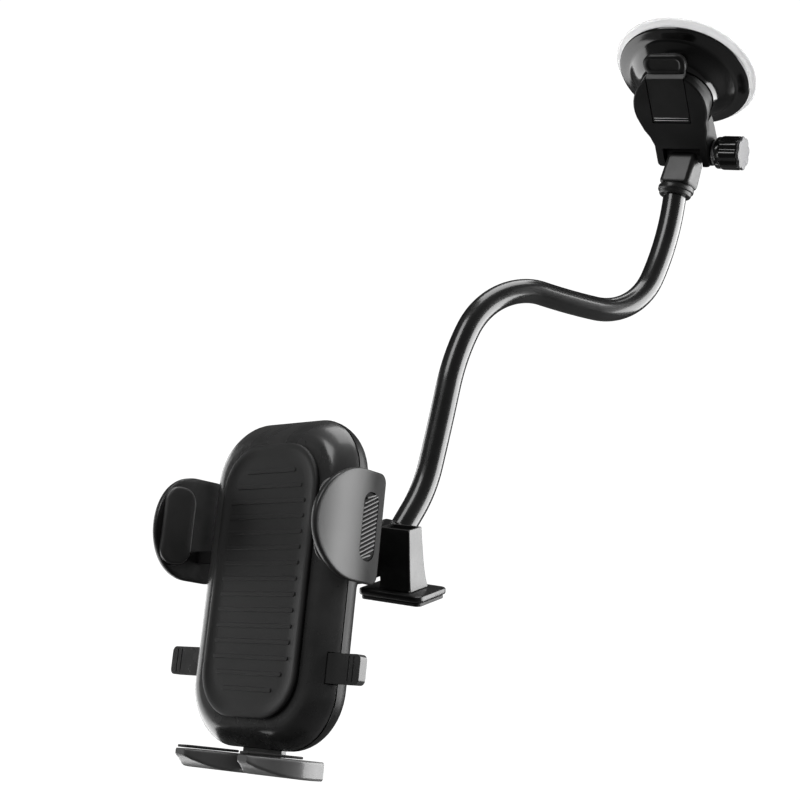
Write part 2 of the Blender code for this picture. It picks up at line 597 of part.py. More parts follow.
def build_covers(cradle, paint):
    front = shell("front_cover", ((1.5, 7.0), (2.1, 5.2), (4.6, 2.4), (7.2, 0.6), (8.4, 0.2),
                                  (8.4, 2.0), (6.8, 2.4), (5.0, 4.2), (3.4, 6.8)),
                  paint["grey"], cradle)
    back = shell("back_cover", ((16.5, 6.0), (16.0, 3.6), (14.0, 1.2), (11.0, 0.0), (PARTING_Y, 0.0),
                                (PARTING_Y, 1.8), (12.6, 2.4), (14.7, 6.0)), paint["black"], cradle)
    ball_y, ball_z = BALL_IN_CRADLE[1:]
    hollow = [(0, ball_y - SOCKET_RADIUS)]
    hollow += [(y, ball_y - x) for x, y in arc((0, 0), SOCKET_RADIUS, 15, 90, 5)]
    hollow += [(SOCKET_RADIUS, 40), (0, 40)]
    boss = turned("join_socket", [(0, 15.6), (13.6, 15.6), (12.6, 17.4), (12.6, ball_y + 0.4),
                                  (0, ball_y + 0.4)], None, cradle, axis="Y", centre=(0, 0, ball_z))
    fuse(back, boss)
    cut(back, turned("cut_socket", hollow, None, cradle, axis="Y", centre=(0, 0, ball_z)))
    low_y, high_y = BAR_Y[0] - GAP, PARTING_Y
    windows = (("right_arm", (20, low_y, ARM_Z + 4.6), (40, high_y, ARM_Z + 11.4)),
               ("left_arm", (-40, low_y, ARM_Z - 12.4), (-20, high_y, ARM_Z - 4.6)),
               ("right_button", (20, low_y, 22.2), (40, high_y, 32.1)),
               ("left_button", (-40, low_y, 22.2), (-20, high_y, 32.1)))
    cut(front, *[box("cut_" + name, low, high, None, cradle) for name, low, high in windows])
    cut(back, box("cut_foot_slot", (-9.4, 9.9, -2), (9.4, 12.6, 6), None, cradle))
    for n, (x, z) in enumerate(((-19, 92), (19, 14)), 1):
        spot = (x, 0, z)
        post = rod(f"join_post_{n}", 2.9, 2.4, 13.0, None, cradle, "Y", spot, 12)
        hole = rod(f"cut_post_{n}", 1.4, 6.0, 20, None, cradle, "Y", spot, 12)
        cut(fuse(front, post), hole)
        seat = turned(f"cut_seat_{n}", [(0, 10), (1.5, 10), (1.5, 15.4), (2.6, 15.5), (2.6, 20), (0, 20)],
                      None, cradle, 12, "Y", spot)
        cut(back, seat)
        head = [(0, 6.6), (1.1, 6.6), (1.1, 15.7), (2.2, 15.8), (2.2, 16.4), (0, 16.4)]
        turned(f"cover_screw_{n}", head, paint["steel"], cradle, 12, "Y", spot)
    pad = [[(x, y, z) for x, z in rounded(22 - s, 44 - s, 15 - s, (0, 54), 5)]
           for y, s in ((1.2, 0.0), (0.4, 0.0), (0.0, 0.5))]
    loft("cradle_pad", pad, paint["rubber"], cradle)


def involute(base_radius, radius):
    """Angle that an involute has turned through when it reaches a radius."""
    root = math.sqrt(max(0.0, (radius / base_radius) ** 2 - 1))
    return root - math.atan(root)


PRESSURE_ANGLE = math.radians(25)
BACKLASH = 0.32
ADDENDUM, DEDENDUM = 0.75, 1.1


def pinion_outline():
    """Spur gear outline (x, z) about the origin with a tooth straight up."""
    base = PINION_RADIUS * math.cos(PRESSURE_ANGLE)
    half_pitch = (TOOTH_PITCH / 2 - BACKLASH) / 2 / PINION_RADIUS
    offset = half_pitch + involute(base, PINION_RADIUS)
    root, tip = PINION_RADIUS - DEDENDUM, PINION_RADIUS + ADDENDUM
    flank = [root] + [max(base, root) + (tip - max(base, root)) * i / 3 for i in range(4)]
    outline = []
    for tooth in range(PINION_TEETH):
        middle = math.pi / 2 - 2 * math.pi * tooth / PINION_TEETH
        rise = [(radius, offset - involute(base, max(radius, base))) for radius in flank]
        for radius, angle in rise:
            outline.append((radius * math.cos(middle + angle), radius * math.sin(middle + angle)))
        for radius, angle in reversed(rise):
            outline.append((radius * math.cos(middle - angle), radius * math.sin(middle - angle)))
    return outline


def rack_teeth(first, last):
    """Teeth profile (x, height above the pitch line), pointing up, centred on half pitches."""
    slope = math.tan(PRESSURE_ANGLE)
    half = (TOOTH_PITCH / 2 - BACKLASH) / 2
    profile = []
    for index in range(first, last):
        middle = (index + 0.5) * TOOTH_PITCH
        profile += [(middle - half - DEDENDUM * slope, -DEDENDUM),
                    (middle - half + ADDENDUM * slope, ADDENDUM),
                    (middle + half - ADDENDUM * slope, ADDENDUM),
                    (middle + half + DEDENDUM * slope, -DEDENDUM)]
    return profile


def arm_outline(shrink=0.0):
    """The arm's side view (y, z): a round front edge and a squarer back edge."""
    low, high = ARM_Z - 17.5, ARM_Z + 17.5
    outline = []
    front = arc((0, 0), 1.0, 90, 270, 20)
    for y, z in front:
        outline.append((2.6 + (17.4 - shrink) * y, ARM_Z + (17.5 - shrink) * z))
    outline += arc((10.6, low + 3.2), 3.2 - shrink, -90, 0, 3)
    outline += arc((10.6, high - 3.2), 3.2 - shrink, 0, 90, 3)
    return outline


def arm_surface(y, side):
    """The bulged outer face of an arm."""
    return side * (40.6 - (y - 1.0) ** 2 / 128)


def arm_rings(side, depths, centre_y=-1.0):
    """Rings that step in over the outer face, round the edge, and in over the inner face."""
    rings = []
    for depth, shrink, scale in depths:
        ring = []
        for y, z in arm_outline(shrink):
            y = centre_y + (y - centre_y) * scale
            z = ARM_Z + (z - ARM_Z) * scale
            ring.append((arm_surface(y, side) - side * depth, y, z))
        rings.append(ring)
    return rings


def build_arm(side, name, cradle, paint):
    depths = ((0.0, 0.6, 0.35), (0.0, 0.6, 0.7), (0.0, 0.6, 1.0), (0.5, 0.0, 1.0), (1.7, 0.0, 1.0),
              (2.2, 0.5, 1.0), (2.2, 0.5, 0.7), (2.2, 0.5, 0.35))
    arm = loft(name, arm_rings(side, depths), paint["grey"], cradle, smooth=50)
    if side > 0:
        teeth = [(x, ARM_Z + PINION_RADIUS - height) for x, height in rack_teeth(-5, 4)]
        bar = [(-16.5, ARM_Z + 11)] + [(-16.5, teeth[0][1])] + teeth
        bar += [(38.9, teeth[0][1]), (38.9, ARM_Z + 11)]
    else:
        teeth = [(x, ARM_Z - PINION_RADIUS + height) for x, height in rack_teeth(-4, 5)]
        low = ARM_Z - 11
        bar = [(16.5, low)] + [(16.5, teeth[0][1])] + teeth[::-1] + [(-38.9, teeth[0][1])]
        bar += [(-38.9, low)]
        for i in range(9):
            x = -9.6 + 2.0 * i
            bar += [(x, low), (x, low - 0.8), (x + 1.6, low)]
    rack = prism(f"join_{name}_rack", bar, *BAR_Y, None, cradle, along="Y")
    seat_low, seat_high = sorted((side * 39.4, side * 44))
    oval = rounded(3.6, 10.8, 3.5, (7.0, ARM_Z), 6)
    recess = prism(f"cut_{name}_grip", oval, seat_low, seat_high, None, cradle, along="X")
    cut(fuse(arm, rack), recess)
    grip = rounded(3.3, 10.5, 3.2, (7.0, ARM_Z), 6)
    grip_low, grip_high = sorted((side * 39.7, side * 40.2))
    prism(name.replace("arm", "grip"), grip, grip_low, grip_high, paint["rubber"], cradle, along="X")
    flat, backed = [], []
    for y, z in rounded(6.4, 13.0, 5.4, (-5.6, ARM_Z), 5):
        flat.append((side * PHONE_HALF_WIDTH, y, z))
        backed.append((arm_surface(y, side) - side * 2.5, y, z))
    loft(f"{name}_pad", [flat, backed], paint["rubber"], cradle, smooth=50)


def build_mechanism(cradle, pinion_frame, paint):
    mid_y = (BAR_Y[0] + BAR_Y[1]) / 2
    gear = prism("pinion", pinion_outline(), BAR_Y[0] - mid_y + 0.2, BAR_Y[1] - mid_y - 0.2,
                 paint["nylon"], pinion_frame, along="Y", smooth=20)
    cut(gear, rod("cut_pinion_bore", 1.5, -9, 9, None, pinion_frame, "Y", steps=16))
    rod("pinion_pin", 1.2, 3.7, 14.4, paint["steel"], cradle, "Y", (0, 0, ARM_Z), 16)
    coil("arm_spring", 1.5, 0.35, -28.0, -16.9, 5, paint["steel"], cradle, "X",
         (0, mid_y, ARM_Z + 8.9))
    pawl = [(-13.5, 14.5), (13.5, 14.5), (13.5, 16.5), (9.0, 21.0), (3.0, 21.0), (3.0, 58.0)]
    pawl += [(2.4, 58.9), (1.2, 58.0), (0.4, 58.9), (-0.8, 58.0), (-1.6, 58.9), (-3.0, 58.0)]
    pawl += [(-3.0, 21.0), (-9.0, 21.0), (-13.5, 16.5)]
    prism("latch_pawl", pawl, *BAR_Y, paint["nylon"], cradle, along="Y", smooth=20)
    coil("latch_spring", 1.6, 0.35, 8.4, 14.2, 4, paint["steel"], cradle, centre=(0, mid_y, 0))
    for side, name in ((1, "release_button_right"), (-1, "release_button_left")):
        outline = [(15.0, 22.5), (15.0, 17.0), (14.0, 17.0), (9.5, 21.5), (9.5, 31.8)]
        outline += [(side_x, z) for side_x, z in ((42.6, 31.8), (44.0, 30.6), (44.0, 23.7), (42.6, 22.5))]
        outline = [(side * x, z) for x, z in outline]
        prism(name, outline, *BAR_Y, paint["grey"], cradle, along="Y", smooth=20)


def build_phone_rest(cradle, paint):
    """A slider that carries two forward feet, with a rubber pad on each."""
    slider = box("foot_slider", (-9, 10.2, -6.0), (9, 12.2, 48), paint["grey"], cradle)
    bar = box("join_rest_bar", (-26, 9.9, -6.9), (26, 12.3, -1.1), None, cradle)
    stations = ((12.0, 12.0, -6.9), (4.0, 12.0, -6.9), (-1.0, 10.0, -6.6), (-5.0, 6.6, -5.6),
                (-8.5, 3.8, -4.4), (-10.4, 2.8, -3.6), (-11.3, 2.0, -3.0))
    feet = []
    for side, name in ((1, "right"), (-1, "left")):
        rings = []
        for y, half, low in stations:
            top, corner = -1.1, 0.5
            middle = side * 14.6
            rings.append([(middle - half, y, low + corner), (middle - half + corner, y, low),
                          (middle + half - corner, y, low), (middle + half, y, low + corner),
                          (middle + half, y, top - 0.3), (middle + half - 0.3, y, top),
                          (middle - half + 0.3, y, top), (middle - half, y, top - 0.3)])
        feet.append(loft(f"join_foot_{name}", rings, None, cradle, smooth=50))
        pad = []
        for y, half, _ in stations:
            pad.append((side * 14.6 + half - 0.8, max(-10.7, y - 0.4)))
        pad = pad[1:] + [(2 * side * 14.6 - x, y) for x, y in reversed(pad[1:])]
        prism(f"foot_{name}_pad", pad, -0.8, 0.0, paint["rubber"], cradle)
    fuse(slider, bar, *feet)


def build():
    clear_scene()
    paint = {
        "gel": material("clear_gel", (0.86, 0.88, 0.90), 0.12, alpha=0.35),
        "gloss_black": material("gloss_black_plastic", (0.015, 0.015, 0.017), 0.18),
        "black": material("black_plastic", (0.020, 0.020, 0.022), 0.38),
        "grey": material("graphite_plastic", (0.16, 0.16, 0.17), 0.32),
        "silver": material("satin_silver", (0.55, 0.55, 0.57), 0.35, 0.8),
        "rubber": material("black_rubber", (0.022, 0.022, 0.024), 0.55),
        "steel": material("zinc_steel", (0.62, 0.62, 0.64), 0.30, 1.0),
        "nylon": material("natural_nylon", (0.74, 0.73, 0.69), 0.45),
    }
    head = frame("suction_frame", turn=facing(BOLT_AXIS, GLASS_NORMAL))
    bracket_frame = frame("bracket_frame", BRACKET_ORIGIN, (-BRACKET_TILT, 0, 0), head)
    lever_frame = frame("lever_frame", (0, 0, LEVER_PIN_Z), parent=bracket_frame)
    pivot_frame = frame("pivot_frame", PIVOT, parent=bracket_frame)
    fitting_frame = frame("fitting_frame", turn=(PIVOT_TILT, 0, 0), parent=pivot_frame)
    build_cup(head, paint)
    build_dome(head, paint)
    build_bracket(head, bracket_frame, paint)
    build_draw_rod(head, paint)
    build_lever(lever_frame, paint)
    build_clamp(pivot_frame, paint)
    build_fitting(fitting_frame, paint)

    collar_end = fitting_frame.matrix_world @ (Vector((-FORK_SHIFT, 0, -FITTING_LENGTH)) * MM)
    neck_frame = frame("neck_frame", collar_end / MM, (0, 0, -90 - NECK_AZIMUTH))
    bends = [frame(f"bend_{n}", on_neck(station)[0], parent=neck_frame)
             for n, station in enumerate(BEND_STATIONS, 1)]
    build_neck(neck_frame, bends, paint)
    ball_centre, ahead, _ = on_neck(NECK_LENGTH)
    ball_place = neck_frame.matrix_world @ (ball_centre * MM) / MM
    along = neck_frame.matrix_world.to_3x3()
    ball_frame = frame("ball_frame", ball_place, (-CRADLE_LEAN, 0, 0))
    stud_frame = frame("stud_frame", ball_place, facing((1, 0, 0), along @ -ahead))
    build_ball(ball_frame, stud_frame, paint)
    clip_centre, ahead, _ = on_neck(CLIP_STATION)
    clip_place = neck_frame.matrix_world @ (clip_centre * MM) / MM
    clip_frame = frame("clip_frame", clip_place, facing((1, 0, 0), along @ -ahead))
    tower_frame = frame("tower_frame", clip_place + Vector(FOOT_OFFSET), facing(FOOT_X, FOOT_Z))
    build_foot(neck_frame, clip_frame, tower_frame, paint)
    cradle = frame("cradle_frame", -Vector(BALL_IN_CRADLE), parent=ball_frame)
    pinion_frame = frame("pinion_frame", (0, (BAR_Y[0] + BAR_Y[1]) / 2, ARM_Z), parent=cradle)
    build_covers(cradle, paint)
    build_arm(1, "right_arm", cradle, paint)
    build_arm(-1, "left_arm", cradle, paint)
    build_mechanism(cradle, pinion_frame, paint)
    build_phone_rest(cradle, paint)


build()
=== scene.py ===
"""Looks of a car phone mount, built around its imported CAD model.

The suction head hangs from the windscreen, a rubber-sleeved neck carries a small dashboard foot,
and a cradle with two side arms and two feet sits on a ball joint at the neck's lower end.
Sizes in the shape functions are millimetres in the frame of the part they belong to.
"""
import json
import math

import bmesh
import bpy
from mathutils import Matrix, Vector


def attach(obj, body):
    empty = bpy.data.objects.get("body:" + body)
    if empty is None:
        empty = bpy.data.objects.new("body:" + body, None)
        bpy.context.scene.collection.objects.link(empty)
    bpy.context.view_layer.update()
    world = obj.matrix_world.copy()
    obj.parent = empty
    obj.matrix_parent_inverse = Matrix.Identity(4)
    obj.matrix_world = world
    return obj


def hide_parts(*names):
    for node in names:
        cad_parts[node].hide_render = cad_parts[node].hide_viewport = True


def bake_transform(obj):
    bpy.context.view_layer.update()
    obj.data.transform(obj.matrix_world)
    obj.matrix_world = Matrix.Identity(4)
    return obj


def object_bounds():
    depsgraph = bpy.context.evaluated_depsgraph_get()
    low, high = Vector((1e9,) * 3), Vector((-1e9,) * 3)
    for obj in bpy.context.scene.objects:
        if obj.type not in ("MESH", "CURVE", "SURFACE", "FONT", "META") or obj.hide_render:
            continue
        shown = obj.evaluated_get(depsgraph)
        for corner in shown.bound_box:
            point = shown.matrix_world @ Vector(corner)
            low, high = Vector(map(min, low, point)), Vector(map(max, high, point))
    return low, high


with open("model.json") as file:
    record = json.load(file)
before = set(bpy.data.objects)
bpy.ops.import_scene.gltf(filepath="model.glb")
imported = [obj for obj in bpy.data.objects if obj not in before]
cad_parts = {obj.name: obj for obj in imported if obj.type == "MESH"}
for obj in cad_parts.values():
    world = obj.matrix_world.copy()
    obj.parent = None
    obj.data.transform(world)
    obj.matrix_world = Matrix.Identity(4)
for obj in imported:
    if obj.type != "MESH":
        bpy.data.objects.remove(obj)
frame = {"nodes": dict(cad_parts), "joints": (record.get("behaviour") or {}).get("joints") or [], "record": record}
cad_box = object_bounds()

MM = 0.001
JOINTS = {joint["name"]: joint for joint in frame["joints"]}
MOUNTS = {mount["name"]: mount for mount in frame["record"]["mounts"]}

BRACKET_TILT = 17.5                # degrees between the bracket plate and the glass
LEVER_PIN_Z = 3.9                  # depth of the lever's pin below the plate's front
FORK_SHIFT = 1.9                   # the fork stands beside the head's middle
TAB_Y, TAB_HALF = -17.2, 4.1       # middle and half height of the lever's thumb tab
TAB_HALF_WIDTH = 8.4
PIVOT_TILT = 39.0                  # degrees between the bracket plate and the fitting
FITTING_LENGTH = 18.0
NECK_AZIMUTH = 21.5                # degrees, the plane of the neck's curve about the vertical
NECK_START_HEADING = -80.0
NECK_STRETCHES = (                 # length in mm, and heading in degrees at its end
    (34.5, -62.5), (31.0, 7.0), (23.0, 12.0), (6.5, -4.5), (30.0, -61.5), (22.5, -76.5),
    (29.0, -75.0), (17.0, -57.0), (17.0, -57.0), (10.0, -5.0), (17.5, -5.0),
)
SLEEVE_RADIUS = 4.4
SLEEVE_LEAD = 3.4                  # sleeve hidden in the collar
SLEEVE_END = 13.9                  # bare length at the ball's end
RING_STEPS = 48
BEND_STATIONS = (20.0, 50.0, 80.0, 108.0, 136.0, 164.0)
BEND_REACH = 9.0                   # half of the sleeve length about a joint
BALL_IN_CRADLE = (0.0, 26.4, 60.2)
BALL_RADIUS = 9.0
ARM_Z = 71.0                       # height of the arms' middle above the body's foot
ARM_HALF_HEIGHT = 17.5
GRIP_Y = 7.0                       # middle of the arm's grip, towards the back
ARM_PAD_Y = -5.6
BAR_Y = (5.2, 8.2)                 # the layer of the arm bars and the release tabs
PINION_RADIUS = 6.0
TOOTH_PITCH = 2 * math.pi * PINION_RADIUS / 12
PHONE_HALF_WIDTH = 35.75
REST_FOOT_X = 14.6                 # middle of each foot of the phone rest
TOWER_SHIFT = -1.2                 # the tower stands beside its frame's origin
LENS = 71.9                        # mm, on a 36 mm wide sensor
CAMERA_PLACE = (0.3196, -0.5091, -0.1925)
CAMERA_AHEAD = (-0.673, 0.732, 0.111)
CAMERA_UP = (0.075, -0.081, 0.994)


# ---------------------------------------------------------------- frames
def basis(origin, x_axis, z_axis):
    """A rigid frame from its origin in metres, its X axis and its Z axis."""
    z = Vector(z_axis).normalized()
    y = z.cross(Vector(x_axis)).normalized()
    turn = Matrix((y.cross(z), y, z)).transposed()
    return Matrix.Translation(Vector(origin)) @ turn.to_4x4()


def moved(place, shift=(0, 0, 0), turn_x=0.0):
    """A frame moved by millimetres in its own axes, then turned about its X axis."""
    step = Matrix.Translation(Vector(shift) * MM)
    return place @ step @ Matrix.Rotation(math.radians(turn_x), 4, "X")


SUCTION = basis((0, 0, 0), JOINTS["neck_pivot"]["axis"], MOUNTS["suction_face"]["axis"])
PIVOT = basis(JOINTS["neck_pivot"]["pos_m"], JOINTS["neck_pivot"]["axis"],
              (SUCTION.to_3x3() @ Matrix.Rotation(math.radians(-BRACKET_TILT), 3, "X")).col[2])
BRACKET = moved(PIVOT, (-FORK_SHIFT, -21.5, -5.5))
LEVER = moved(BRACKET, (0, 0, LEVER_PIN_Z))
FITTING = moved(PIVOT, turn_x=PIVOT_TILT)
NECK = (Matrix.Translation(FITTING @ (Vector((-FORK_SHIFT, 0, -FITTING_LENGTH)) * MM))
        @ Matrix.Rotation(math.radians(-90 - NECK_AZIMUTH), 4, "Z"))
CLIP = basis(JOINTS["foot_turn"]["pos_m"], (1, 0, 0), JOINTS["foot_turn"]["axis"])
TOWER = basis(CLIP.translation + Vector((8.5, -9.2, -1.4)) * MM, (0.975, 0.184, -0.121),
              -Vector(MOUNTS["dash_pad_face"]["axis"]))
STUD = basis(JOINTS["ball_spin"]["pos_m"], (1, 0, 0), JOINTS["ball_spin"]["axis"])
BALL = basis(JOINTS["cradle_pitch"]["pos_m"], (1, 0, 0), JOINTS["cradle_yaw"]["axis"])
CRADLE = moved(BALL, [-value for value in BALL_IN_CRADLE])


# ---------------------------------------------------------------- materials
def node(tree, kind, **inputs):
    """A shader node with values for its inputs; _ stands for a space in an input's name."""
    made = tree.nodes.new("ShaderNode" + kind)
    for name, value in inputs.items():
        made.inputs[name.replace("_", " ")].default_value = value
    return made


def ramp(tree, stops, source):
    """A colour ramp of (position, shade) stops on a source."""
    made = tree.nodes.new("ShaderNodeValToRGB")
    made.color_ramp.elements[0].position = stops[0][0]
    made.color_ramp.elements[-1].position = stops[-1][0]
    for position, _ in stops[1:-1]:
        made.color_ramp.elements.new(position)
    for element, (_, shade) in zip(made.color_ramp.elements, stops):
        element.color = (*shade, 1) if isinstance(shade, tuple) else (shade, shade, shade, 1)
    tree.links.new(source, made.inputs["Fac"])
    return made


def moulded(name, dark, light, gloss, grain, depth, metal=0.0, coat=0.0, wear=0.12, shine=0.5):
    """Moulded plastic or metal: soft tone patches, uneven gloss, fine grain and rubbed edges.

    gloss is the range of roughness, grain and depth are the fineness and strength of the bumps.
    """
    made = bpy.data.materials.new(name)
    made.use_nodes = True
    tree = made.node_tree
    shader = tree.nodes["Principled BSDF"]
    place = tree.nodes.new("ShaderNodeTexCoord").outputs["Object"]
    patches = node(tree, "TexNoise", Scale=90.0, Detail=4.0, Roughness=0.55)
    fine = node(tree, "TexNoise", Scale=grain, Detail=2.0, Roughness=0.6)
    for texture in (patches, fine):
        tree.links.new(place, texture.inputs["Vector"])
    tone = ramp(tree, ((0.35, dark), (0.68, light)), patches.outputs["Fac"])
    rubbed = ramp(tree, ((0.56, 0.0), (0.68, wear)),
                  tree.nodes.new("ShaderNodeNewGeometry").outputs["Pointiness"])
    worn = node(tree, "Mix")
    worn.data_type = "RGBA"
    worn.inputs["B"].default_value = (*[min(1.0, value * 2.2 + 0.03) for value in light], 1)
    tree.links.new(rubbed.outputs["Color"], worn.inputs["Factor"])
    tree.links.new(tone.outputs["Color"], worn.inputs["A"])
    tree.links.new(worn.outputs["Result"], shader.inputs["Base Color"])
    sheen = ramp(tree, ((0.3, gloss[0]), (0.7, gloss[1])), patches.outputs["Fac"])
    tree.links.new(sheen.outputs["Color"], shader.inputs["Roughness"])
    bump = node(tree, "Bump", Strength=depth, Distance=0.00006)
    tree.links.new(fine.outputs["Fac"], bump.inputs["Height"])
    tree.links.new(bump.outputs["Normal"], shader.inputs["Normal"])
    shader.inputs["Metallic"].default_value = metal
    shader.inputs["Coat Weight"].default_value = coat
    shader.inputs["Specular IOR Level"].default_value = shine
    shader.inputs["Coat Roughness"].default_value = 0.12
    return made


def grey(value, tint=0.0):
    """A grey with a little more blue."""
    return (value, value, value + tint)


def painted_highlight_falloff(made, across, centre, near, far):
    """Painted highlight and shade: the shine is made to fall off along one axis, between two distances in mm from
    a centre.
    """
    tree = made.node_tree
    place = tree.nodes.new("ShaderNodeTexCoord").outputs["Object"]
    along = tree.nodes.new("ShaderNodeVectorMath")
    along.operation = "DOT_PRODUCT"
    along.inputs[1].default_value = across
    tree.links.new(place, along.inputs[0])
    level = tree.nodes.new("ShaderNodeMapRange")
    level.interpolation_type = "SMOOTHSTEP"
    level.inputs["From Min"].default_value = centre.dot(across) + near * MM
    level.inputs["From Max"].default_value = centre.dot(across) + far * MM
    level.inputs["To Min"].default_value = 0.68
    level.inputs["To Max"].default_value = 0.03
    tree.links.new(along.outputs["Value"], level.inputs["Value"])
    shader = tree.nodes["Principled BSDF"]
    tree.links.new(level.outputs["Result"], shader.inputs["Specular IOR Level"])


def gel_material():
    """Clear soft gel: half see-through and milky, with a faint painted glow that stands in for light shining
    through it from behind.
    """
    made = moulded("gel_clear", grey(0.86, 0.01), grey(0.95), (0.16, 0.26), 1400, 0.10, wear=0.0)
    shader = made.node_tree.nodes["Principled BSDF"]
    shader.inputs["Transmission Weight"].default_value = 0.55
    shader.inputs["IOR"].default_value = 1.40
    shader.inputs["Subsurface Weight"].default_value = 0.2
    shader.inputs["Subsurface Radius"].default_value = (0.004, 0.004, 0.004)
    # painted glow: a weak white emission stands in for back light let through the gel
    shader.inputs["Emission Color"].default_value = (1, 1, 1, 1)
    shader.inputs["Emission Strength"].default_value = 0.17
    return made


PAINT = {
    "gel": gel_material(),
    "dome": moulded("dome_gloss", grey(0.005), grey(0.009), (0.12, 0.18), 900, 0.03, coat=0.4),
    "plate": moulded("bracket_black", grey(0.005), grey(0.008), (0.34, 0.44), 2600, 0.22,
                     wear=0.0, shine=0.22),
    "panel": moulded("lever_black", grey(0.009), grey(0.013), (0.28, 0.36), 2600, 0.20,
                     wear=0.0, shine=0.3),
    "fitting": moulded("fitting_black", grey(0.014), grey(0.020), (0.30, 0.40), 1800, 0.10),
    "knob": moulded("knob_black", grey(0.006), grey(0.010), (0.16, 0.24), 1500, 0.06, coat=0.4),
    "cap": moulded("cap_silver", grey(0.075), grey(0.10, 0.01), (0.40, 0.50), 2200, 0.10),
    "sleeve": moulded("sleeve_rubber", grey(0.006), grey(0.009), (0.24, 0.32), 2400, 0.10,
                      coat=0.7, wear=0.0),
    "tower": moulded("tower_black", grey(0.012), grey(0.020), (0.26, 0.36), 1800, 0.10, coat=0.2),
    "base": moulded("base_black", grey(0.007), grey(0.012), (0.28, 0.38), 1800, 0.10, coat=0.2),
    "cover": moulded("cover_graphite", grey(0.035), grey(0.050), (0.24, 0.32), 1600, 0.06, coat=0.3),
    "back": moulded("back_black", grey(0.006), grey(0.010), (0.36, 0.46), 2600, 0.25, shine=0.2),
    "arm": moulded("arm_graphite", grey(0.018), grey(0.026), (0.30, 0.38), 2000, 0.08),
    "rest": moulded("rest_graphite", grey(0.12), grey(0.15), (0.26, 0.36), 1600, 0.08, coat=0.2),
    "pad": moulded("pad_rubber", grey(0.010), grey(0.016), (0.50, 0.62), 2200, 0.35, wear=0.0),
    # light grey for the lever's two edge strips, which are painted highlights
    "painted_edge_highlight": moulded("painted_edge_highlight_grey", grey(0.50), grey(0.60), (0.40, 0.50), 2200, 0.10, wear=0.0),
    "grip": moulded("grip_black", grey(0.003), grey(0.005), (0.50, 0.60), 2200, 0.3,
                    wear=0.0, shine=0.06),
    "inner": moulded("inner_rubber", grey(0.08), grey(0.10), (0.36, 0.48), 2200, 0.20, wear=0.0),
    "steel": moulded("zinc_steel", grey(0.50), grey(0.62), (0.24, 0.36), 1800, 0.15, metal=1.0),
    "nylon": moulded("natural_nylon", (0.66, 0.64, 0.58), (0.76, 0.74, 0.69), (0.36, 0.46), 1800, 0.12),
}
# painted highlight on the arms: strong shine at the front edge, fading to painted shade towards the back edge
painted_highlight_falloff(PAINT["arm"], CRADLE.to_3x3().col[1].normalized(), CRADLE.translation, -8.0, 9.0)


# ---------------------------------------------------------------- mesh tools
def arc(centre, radius, start, end, count):
    """Points on an arc, with angles in degrees."""
    found = []
    for i in range(count + 1):
        angle = math.radians(start + (end - start) * i / count)
        found.append((centre[0] + radius * math.cos(angle), centre[1] + radius * math.sin(angle)))
    return found


def rounded(half_x, half_y, radius, centre=(0, 0), count=8):
    """A rounded rectangle's outline."""
    outline = []
    for quarter, (sx, sy) in enumerate(((1, 1), (-1, 1), (-1, -1), (1, -1))):
        middle = (centre[0] + sx * (half_x - radius), centre[1] + sy * (half_y - radius))
        outline += arc(middle, radius, 90 * quarter, 90 * quarter + 90, count)
    return outline


def piece(name, place, points, faces, paint, body=None, nodes=(), slot=None, edge=0.0):
    """A mesh of millimetre points in a frame, with soft edges, that rides on a body."""
    mesh = bpy.data.meshes.new(name)
    mesh.from_pydata([place @ (Vector(point) * MM) for point in points], [], faces)
    tool = bmesh.new()
    tool.from_mesh(mesh)
    bmesh.ops.recalc_face_normals(tool, faces=tool.faces)
    tool.to_mesh(mesh)
    tool.free()
    for face in mesh.polygons:
        face.use_smooth = True
    made = bpy.data.objects.new(name, mesh)
    bpy.context.scene.collection.objects.link(made)
    if paint:
        mesh.materials.append(PAINT[paint])
    if body:
        settle(made, body, nodes, edge)
    return made


def soften(made, edge):
    """Rounded edges that catch the light, with the flat faces kept flat."""
    bevel = made.modifiers.new("edge", "BEVEL")
    bevel.width = edge * MM
    bevel.segments = 3
    bevel.limit_method = "ANGLE"
    bevel.angle_limit = math.radians(32)
    bevel.use_clamp_overlap = True
    made.modifiers.new("shading", "WEIGHTED_NORMAL").keep_sharp = False


def settle(made, body, nodes=(), edge=0.0):
    """Soften a piece, let it ride on a body, and hide the CAD nodes that it stands for."""
    if edge:
        soften(made, edge)
    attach(made, body)
    if nodes:
        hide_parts(*nodes)
    return made


def loft(name, place, rings, paint, closed=True, **rest):
    """Skin between rings of equal length, capped at both ends when closed."""
    count = len(rings[0])
    points = [point for ring in rings for point in ring]
    faces = []
    for level in range(len(rings) - 1):
        low, high = level * count, (level + 1) * count
        for i in range(count):
            j = (i + 1) % count
            faces.append((low + i, low + j, high + j, high + i))
    if closed:
        faces.append(tuple(range(count - 1, -1, -1)))
        faces.append(tuple(range((len(rings) - 1) * count, len(rings) * count)))
    return piece(name, place, points, faces, paint, **rest)


def turned(name, place, profile, paint, steps=128, axis="Z", centre=(0, 0, 0), ripple=None, **rest):
    """A profile of (radius, height) turned about an axis; ripple gives a change of radius."""
    swap = {"Z": lambda p: p, "X": lambda p: (p[2], p[0], p[1]), "Y": lambda p: (p[1], p[2], p[0])}
    points, faces, rows = [], [], []
    for radius, height in profile:
        row = []
        for i in range(1 if radius == 0 else steps):
            angle = 2 * math.pi * i / steps
            size = radius + (ripple(angle, radius) if ripple else 0)
            row.append(len(points))
            flat = (size * math.cos(angle), size * math.sin(angle), height)
            points.append(Vector(swap[axis](flat)) + Vector(centre))
        rows.append(row)
    ring_shaped = len(rows[0]) > 1
    for low, high in zip(rows, rows[1:] + rows[:1] if ring_shaped else rows[1:]):
        for i in range(steps):
            j = (i + 1) % steps
            face = (low[i % len(low)], low[j % len(low)], high[j % len(high)], high[i % len(high)])
            faces.append(tuple(dict.fromkeys(face)))
    return piece(name, place, points, faces, paint, **rest)


